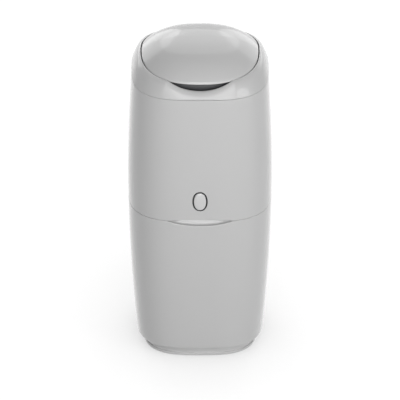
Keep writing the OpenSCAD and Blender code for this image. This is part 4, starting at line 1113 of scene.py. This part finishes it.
class NAPPYBIN_OT_mechanism(bpy.types.Operator):
    """Softens the edges of the clamp, latch, cassette and pins, and gives them their finish"""

    bl_idname = "nappybin.mechanism"
    bl_label = "Mechanism"

    def execute(self, context):
        def merge(bm):
            bmesh.ops.remove_doubles(bm, verts=bm.verts, dist=1e-6)
            bmesh.ops.dissolve_limit(bm, angle_limit=math.radians(0.5), verts=bm.verts, edges=bm.edges)

        record = frame["record"]
        slots = {p["node"]: p["material_slot"] for p in record["subparts"]}
        bodies = {node: body for body, nodes in record["behaviour"]["bodies"].items() for node in nodes}
        for name, edge in EDGES.items():
            copy = new_object(name + "_moulded", frame["nodes"][name].data.copy())
            changed(copy.data, merge)
            if edge:
                bevelled(copy, edge * MM, 50)
            finish(copy, bodies[name], slots[name], name)
        return {"FINISHED"}


# ---- stage
LAMPS = (
    # name, watts, width, azimuth and elevation it shines from
    ("front", 26.5, 1.8, 0, 8),
    ("key", 20.5, 1.8, 50, 15),
    ("high right", 20.0, 1.8, 10, 35),
    ("high left", 8.0, 1.8, -20, 35),
    ("top", 3.0, 2.6, 0, 62),
    ("rear left", 19.5, 2.6, -150, 20),
    ("rear right", 15.5, 2.6, 150, 20),
    ("rear top", 16.0, 2.6, 180, 45),
)
# how far the lamps stand from the bin's middle, and how high that is
LAMP_DISTANCE, LAMP_AIM = 3.0, 0.3
FLOOR_HALF = 6
SENSOR = 36
WHITE = (1, 1, 1, 1)


def shown(tree):
    """The light path's outputs, and whether the ray shows the background: seen, mirrored or through glass."""
    path = add(tree, "ShaderNodeLightPath").outputs
    seen = add(tree, "ShaderNodeMath", {0: path["Is Camera Ray"], 1: path["Is Glossy Ray"]}, operation="MAXIMUM")
    return path, add(tree, "ShaderNodeMath", {0: seen, 1: path["Is Transmission Ray"]}, operation="MAXIMUM")


def white_world(sky):
    """White wherever it is seen or mirrored, and dim as light on the object."""
    world = bpy.data.worlds.new("white studio")
    tree = cleared(world)
    seen = shown(tree)[1]
    strength = add(tree, "ShaderNodeMapRange", {"Value": seen, "To Min": sky, "To Max": 1.0})
    light = add(tree, "ShaderNodeBackground", {"Color": WHITE, "Strength": strength})
    add(tree, "ShaderNodeOutputWorld", {"Surface": light})
    return world


def white_paper():
    """The floor's paper: matt with a glow of its own. The matt part keeps the object's lit shadow, and the glow seen by
    the camera carries a painted contact shadow near the bin.
    """
    paper = bpy.data.materials.new("white paper")
    tree = cleared(paper)
    path, seen = shown(tree)
    # what the floor sends back to the object, and the share of it that shows its shadow
    shade = add(tree, "ShaderNodeMapRange", {"Value": seen, "To Min": 0.5, "To Max": 0.35})
    matt = add(tree, "ShaderNodeBsdfDiffuse", {"Color": shade})
    # the glow, which ambient occlusion darkens to the camera where the bin stands over it: a painted contact shadow on
    # the floor
    painted_shadow_ao = add(tree, "ShaderNodeAmbientOcclusion", {"Distance": 0.25}, samples=8).outputs["AO"]
    others = add(tree, "ShaderNodeMath", {0: 1.0, 1: path["Is Camera Ray"]}, operation="SUBTRACT")
    # painted shadow: the occlusion darkens the glow for camera rays only, and other rays see the full glow
    clear = add(tree, "ShaderNodeMath", {0: painted_shadow_ao, 1: others}, operation="MAXIMUM")
    glow = add(tree, "ShaderNodeMapRange", {"Value": clear, "To Min": 0.48, "To Max": 0.82})
    glow = add(tree, "ShaderNodeMath", {0: seen, 1: glow}, operation="MULTIPLY")
    glow = add(tree, "ShaderNodeEmission", {"Color": WHITE, "Strength": glow})
    both = add(tree, "ShaderNodeAddShader", {0: matt, 1: glow})
    add(tree, "ShaderNodeOutputMaterial", {"Surface": both})
    return paper


def direction(azimuth, elevation):
    """Points from the bin to where something stands: azimuth 0 is in front."""
    return Vector((math.sin(azimuth) * math.cos(elevation), -math.cos(azimuth) * math.cos(elevation),
                   math.sin(elevation)))


class NAPPYBIN_OT_stage(bpy.types.Operator):
    """Sets the floor, the surroundings, the lamps and the camera"""

    bl_idname = "nappybin.stage"
    bl_label = "Stage"

    def execute(self, context):
        st = sizes("studio")
        scene = context.scene
        scene.view_settings.view_transform = "Standard"
        scene.world = white_world(st.sky)
        mesh = bpy.data.meshes.new("floor")
        corners = [(x * FLOOR_HALF, y * FLOOR_HALF, 0) for x, y in ((-1, -1), (1, -1), (1, 1), (-1, 1))]
        mesh.from_pydata(corners, [], [(0, 1, 2, 3)])
        mesh.materials.append(white_paper())
        new_object("floor", mesh)

        for name, watts, width, azimuth, elevation in LAMPS:
            way = direction(math.radians(azimuth), math.radians(elevation))
            lamp = bpy.data.lights.new(name, "AREA")
            lamp.shape, lamp.size, lamp.energy = "DISK", width, watts
            made = new_object(name, lamp)
            made.location = Vector((0, 0, LAMP_AIM)) + way * LAMP_DISTANCE
            made.rotation_euler = way.to_track_quat("Z", "Y").to_euler()
            made.visible_camera = False

        camera = bpy.data.cameras.new("camera")
        camera.sensor_width = SENSOR
        camera.lens = SENSOR * st.distance / st.view_width
        view = new_object("camera", camera)
        view.location = Vector((0, 0, st.aim_z)) + direction(0, st.elevation) * st.distance
        view.rotation_euler = (math.pi / 2 - st.elevation, 0, 0)
        scene.camera = view
        return {"FINISHED"}


class NAPPYBIN_PT_panel(bpy.types.Panel):
    """Lists the sizes, the colours and the steps that build the bin."""

    bl_label = "Nappy Bin"
    bl_idname = "NAPPYBIN_PT_panel"
    bl_space_type = "VIEW_3D"
    bl_region_type = "UI"
    bl_category = "Nappy Bin"

    def draw(self, context):
        for name in GROUPS:
            group = sizes(name)
            box = self.layout.box()
            for key in group.bl_rna.properties.keys():
                if key not in ("rna_type", "name"):
                    box.prop(group, key)
        for step in STEPS:
            self.layout.operator(step.bl_idname)


GROUPS = {"body": BinBodySizes, "top": BinTopSizes, "inner": BinInnerSizes, "colours": BinColours,
          "studio": BinStudio}
STEPS = (NAPPYBIN_OT_stage, NAPPYBIN_OT_container, NAPPYBIN_OT_base, NAPPYBIN_OT_housing, NAPPYBIN_OT_collar,
         NAPPYBIN_OT_lid, NAPPYBIN_OT_lid_inside, NAPPYBIN_OT_tray, NAPPYBIN_OT_button, NAPPYBIN_OT_springs,
         NAPPYBIN_OT_screws, NAPPYBIN_OT_film, NAPPYBIN_OT_mechanism)
CLASSES = (*GROUPS.values(), *STEPS, NAPPYBIN_PT_panel)


def register():
    for made in CLASSES:
        bpy.utils.register_class(made)
    for name, group in GROUPS.items():
        setattr(bpy.types.Scene, "nappy_bin_" + name, PointerProperty(type=group))


def unregister():
    for name in GROUPS:
        delattr(bpy.types.Scene, "nappy_bin_" + name)
    for made in reversed(CLASSES):
        bpy.utils.unregister_class(made)


def main():
    register()
    for step in STEPS:
        group, name = step.bl_idname.split(".")
        getattr(getattr(bpy.ops, group), name)()


if __name__ == "__main__":
    main()
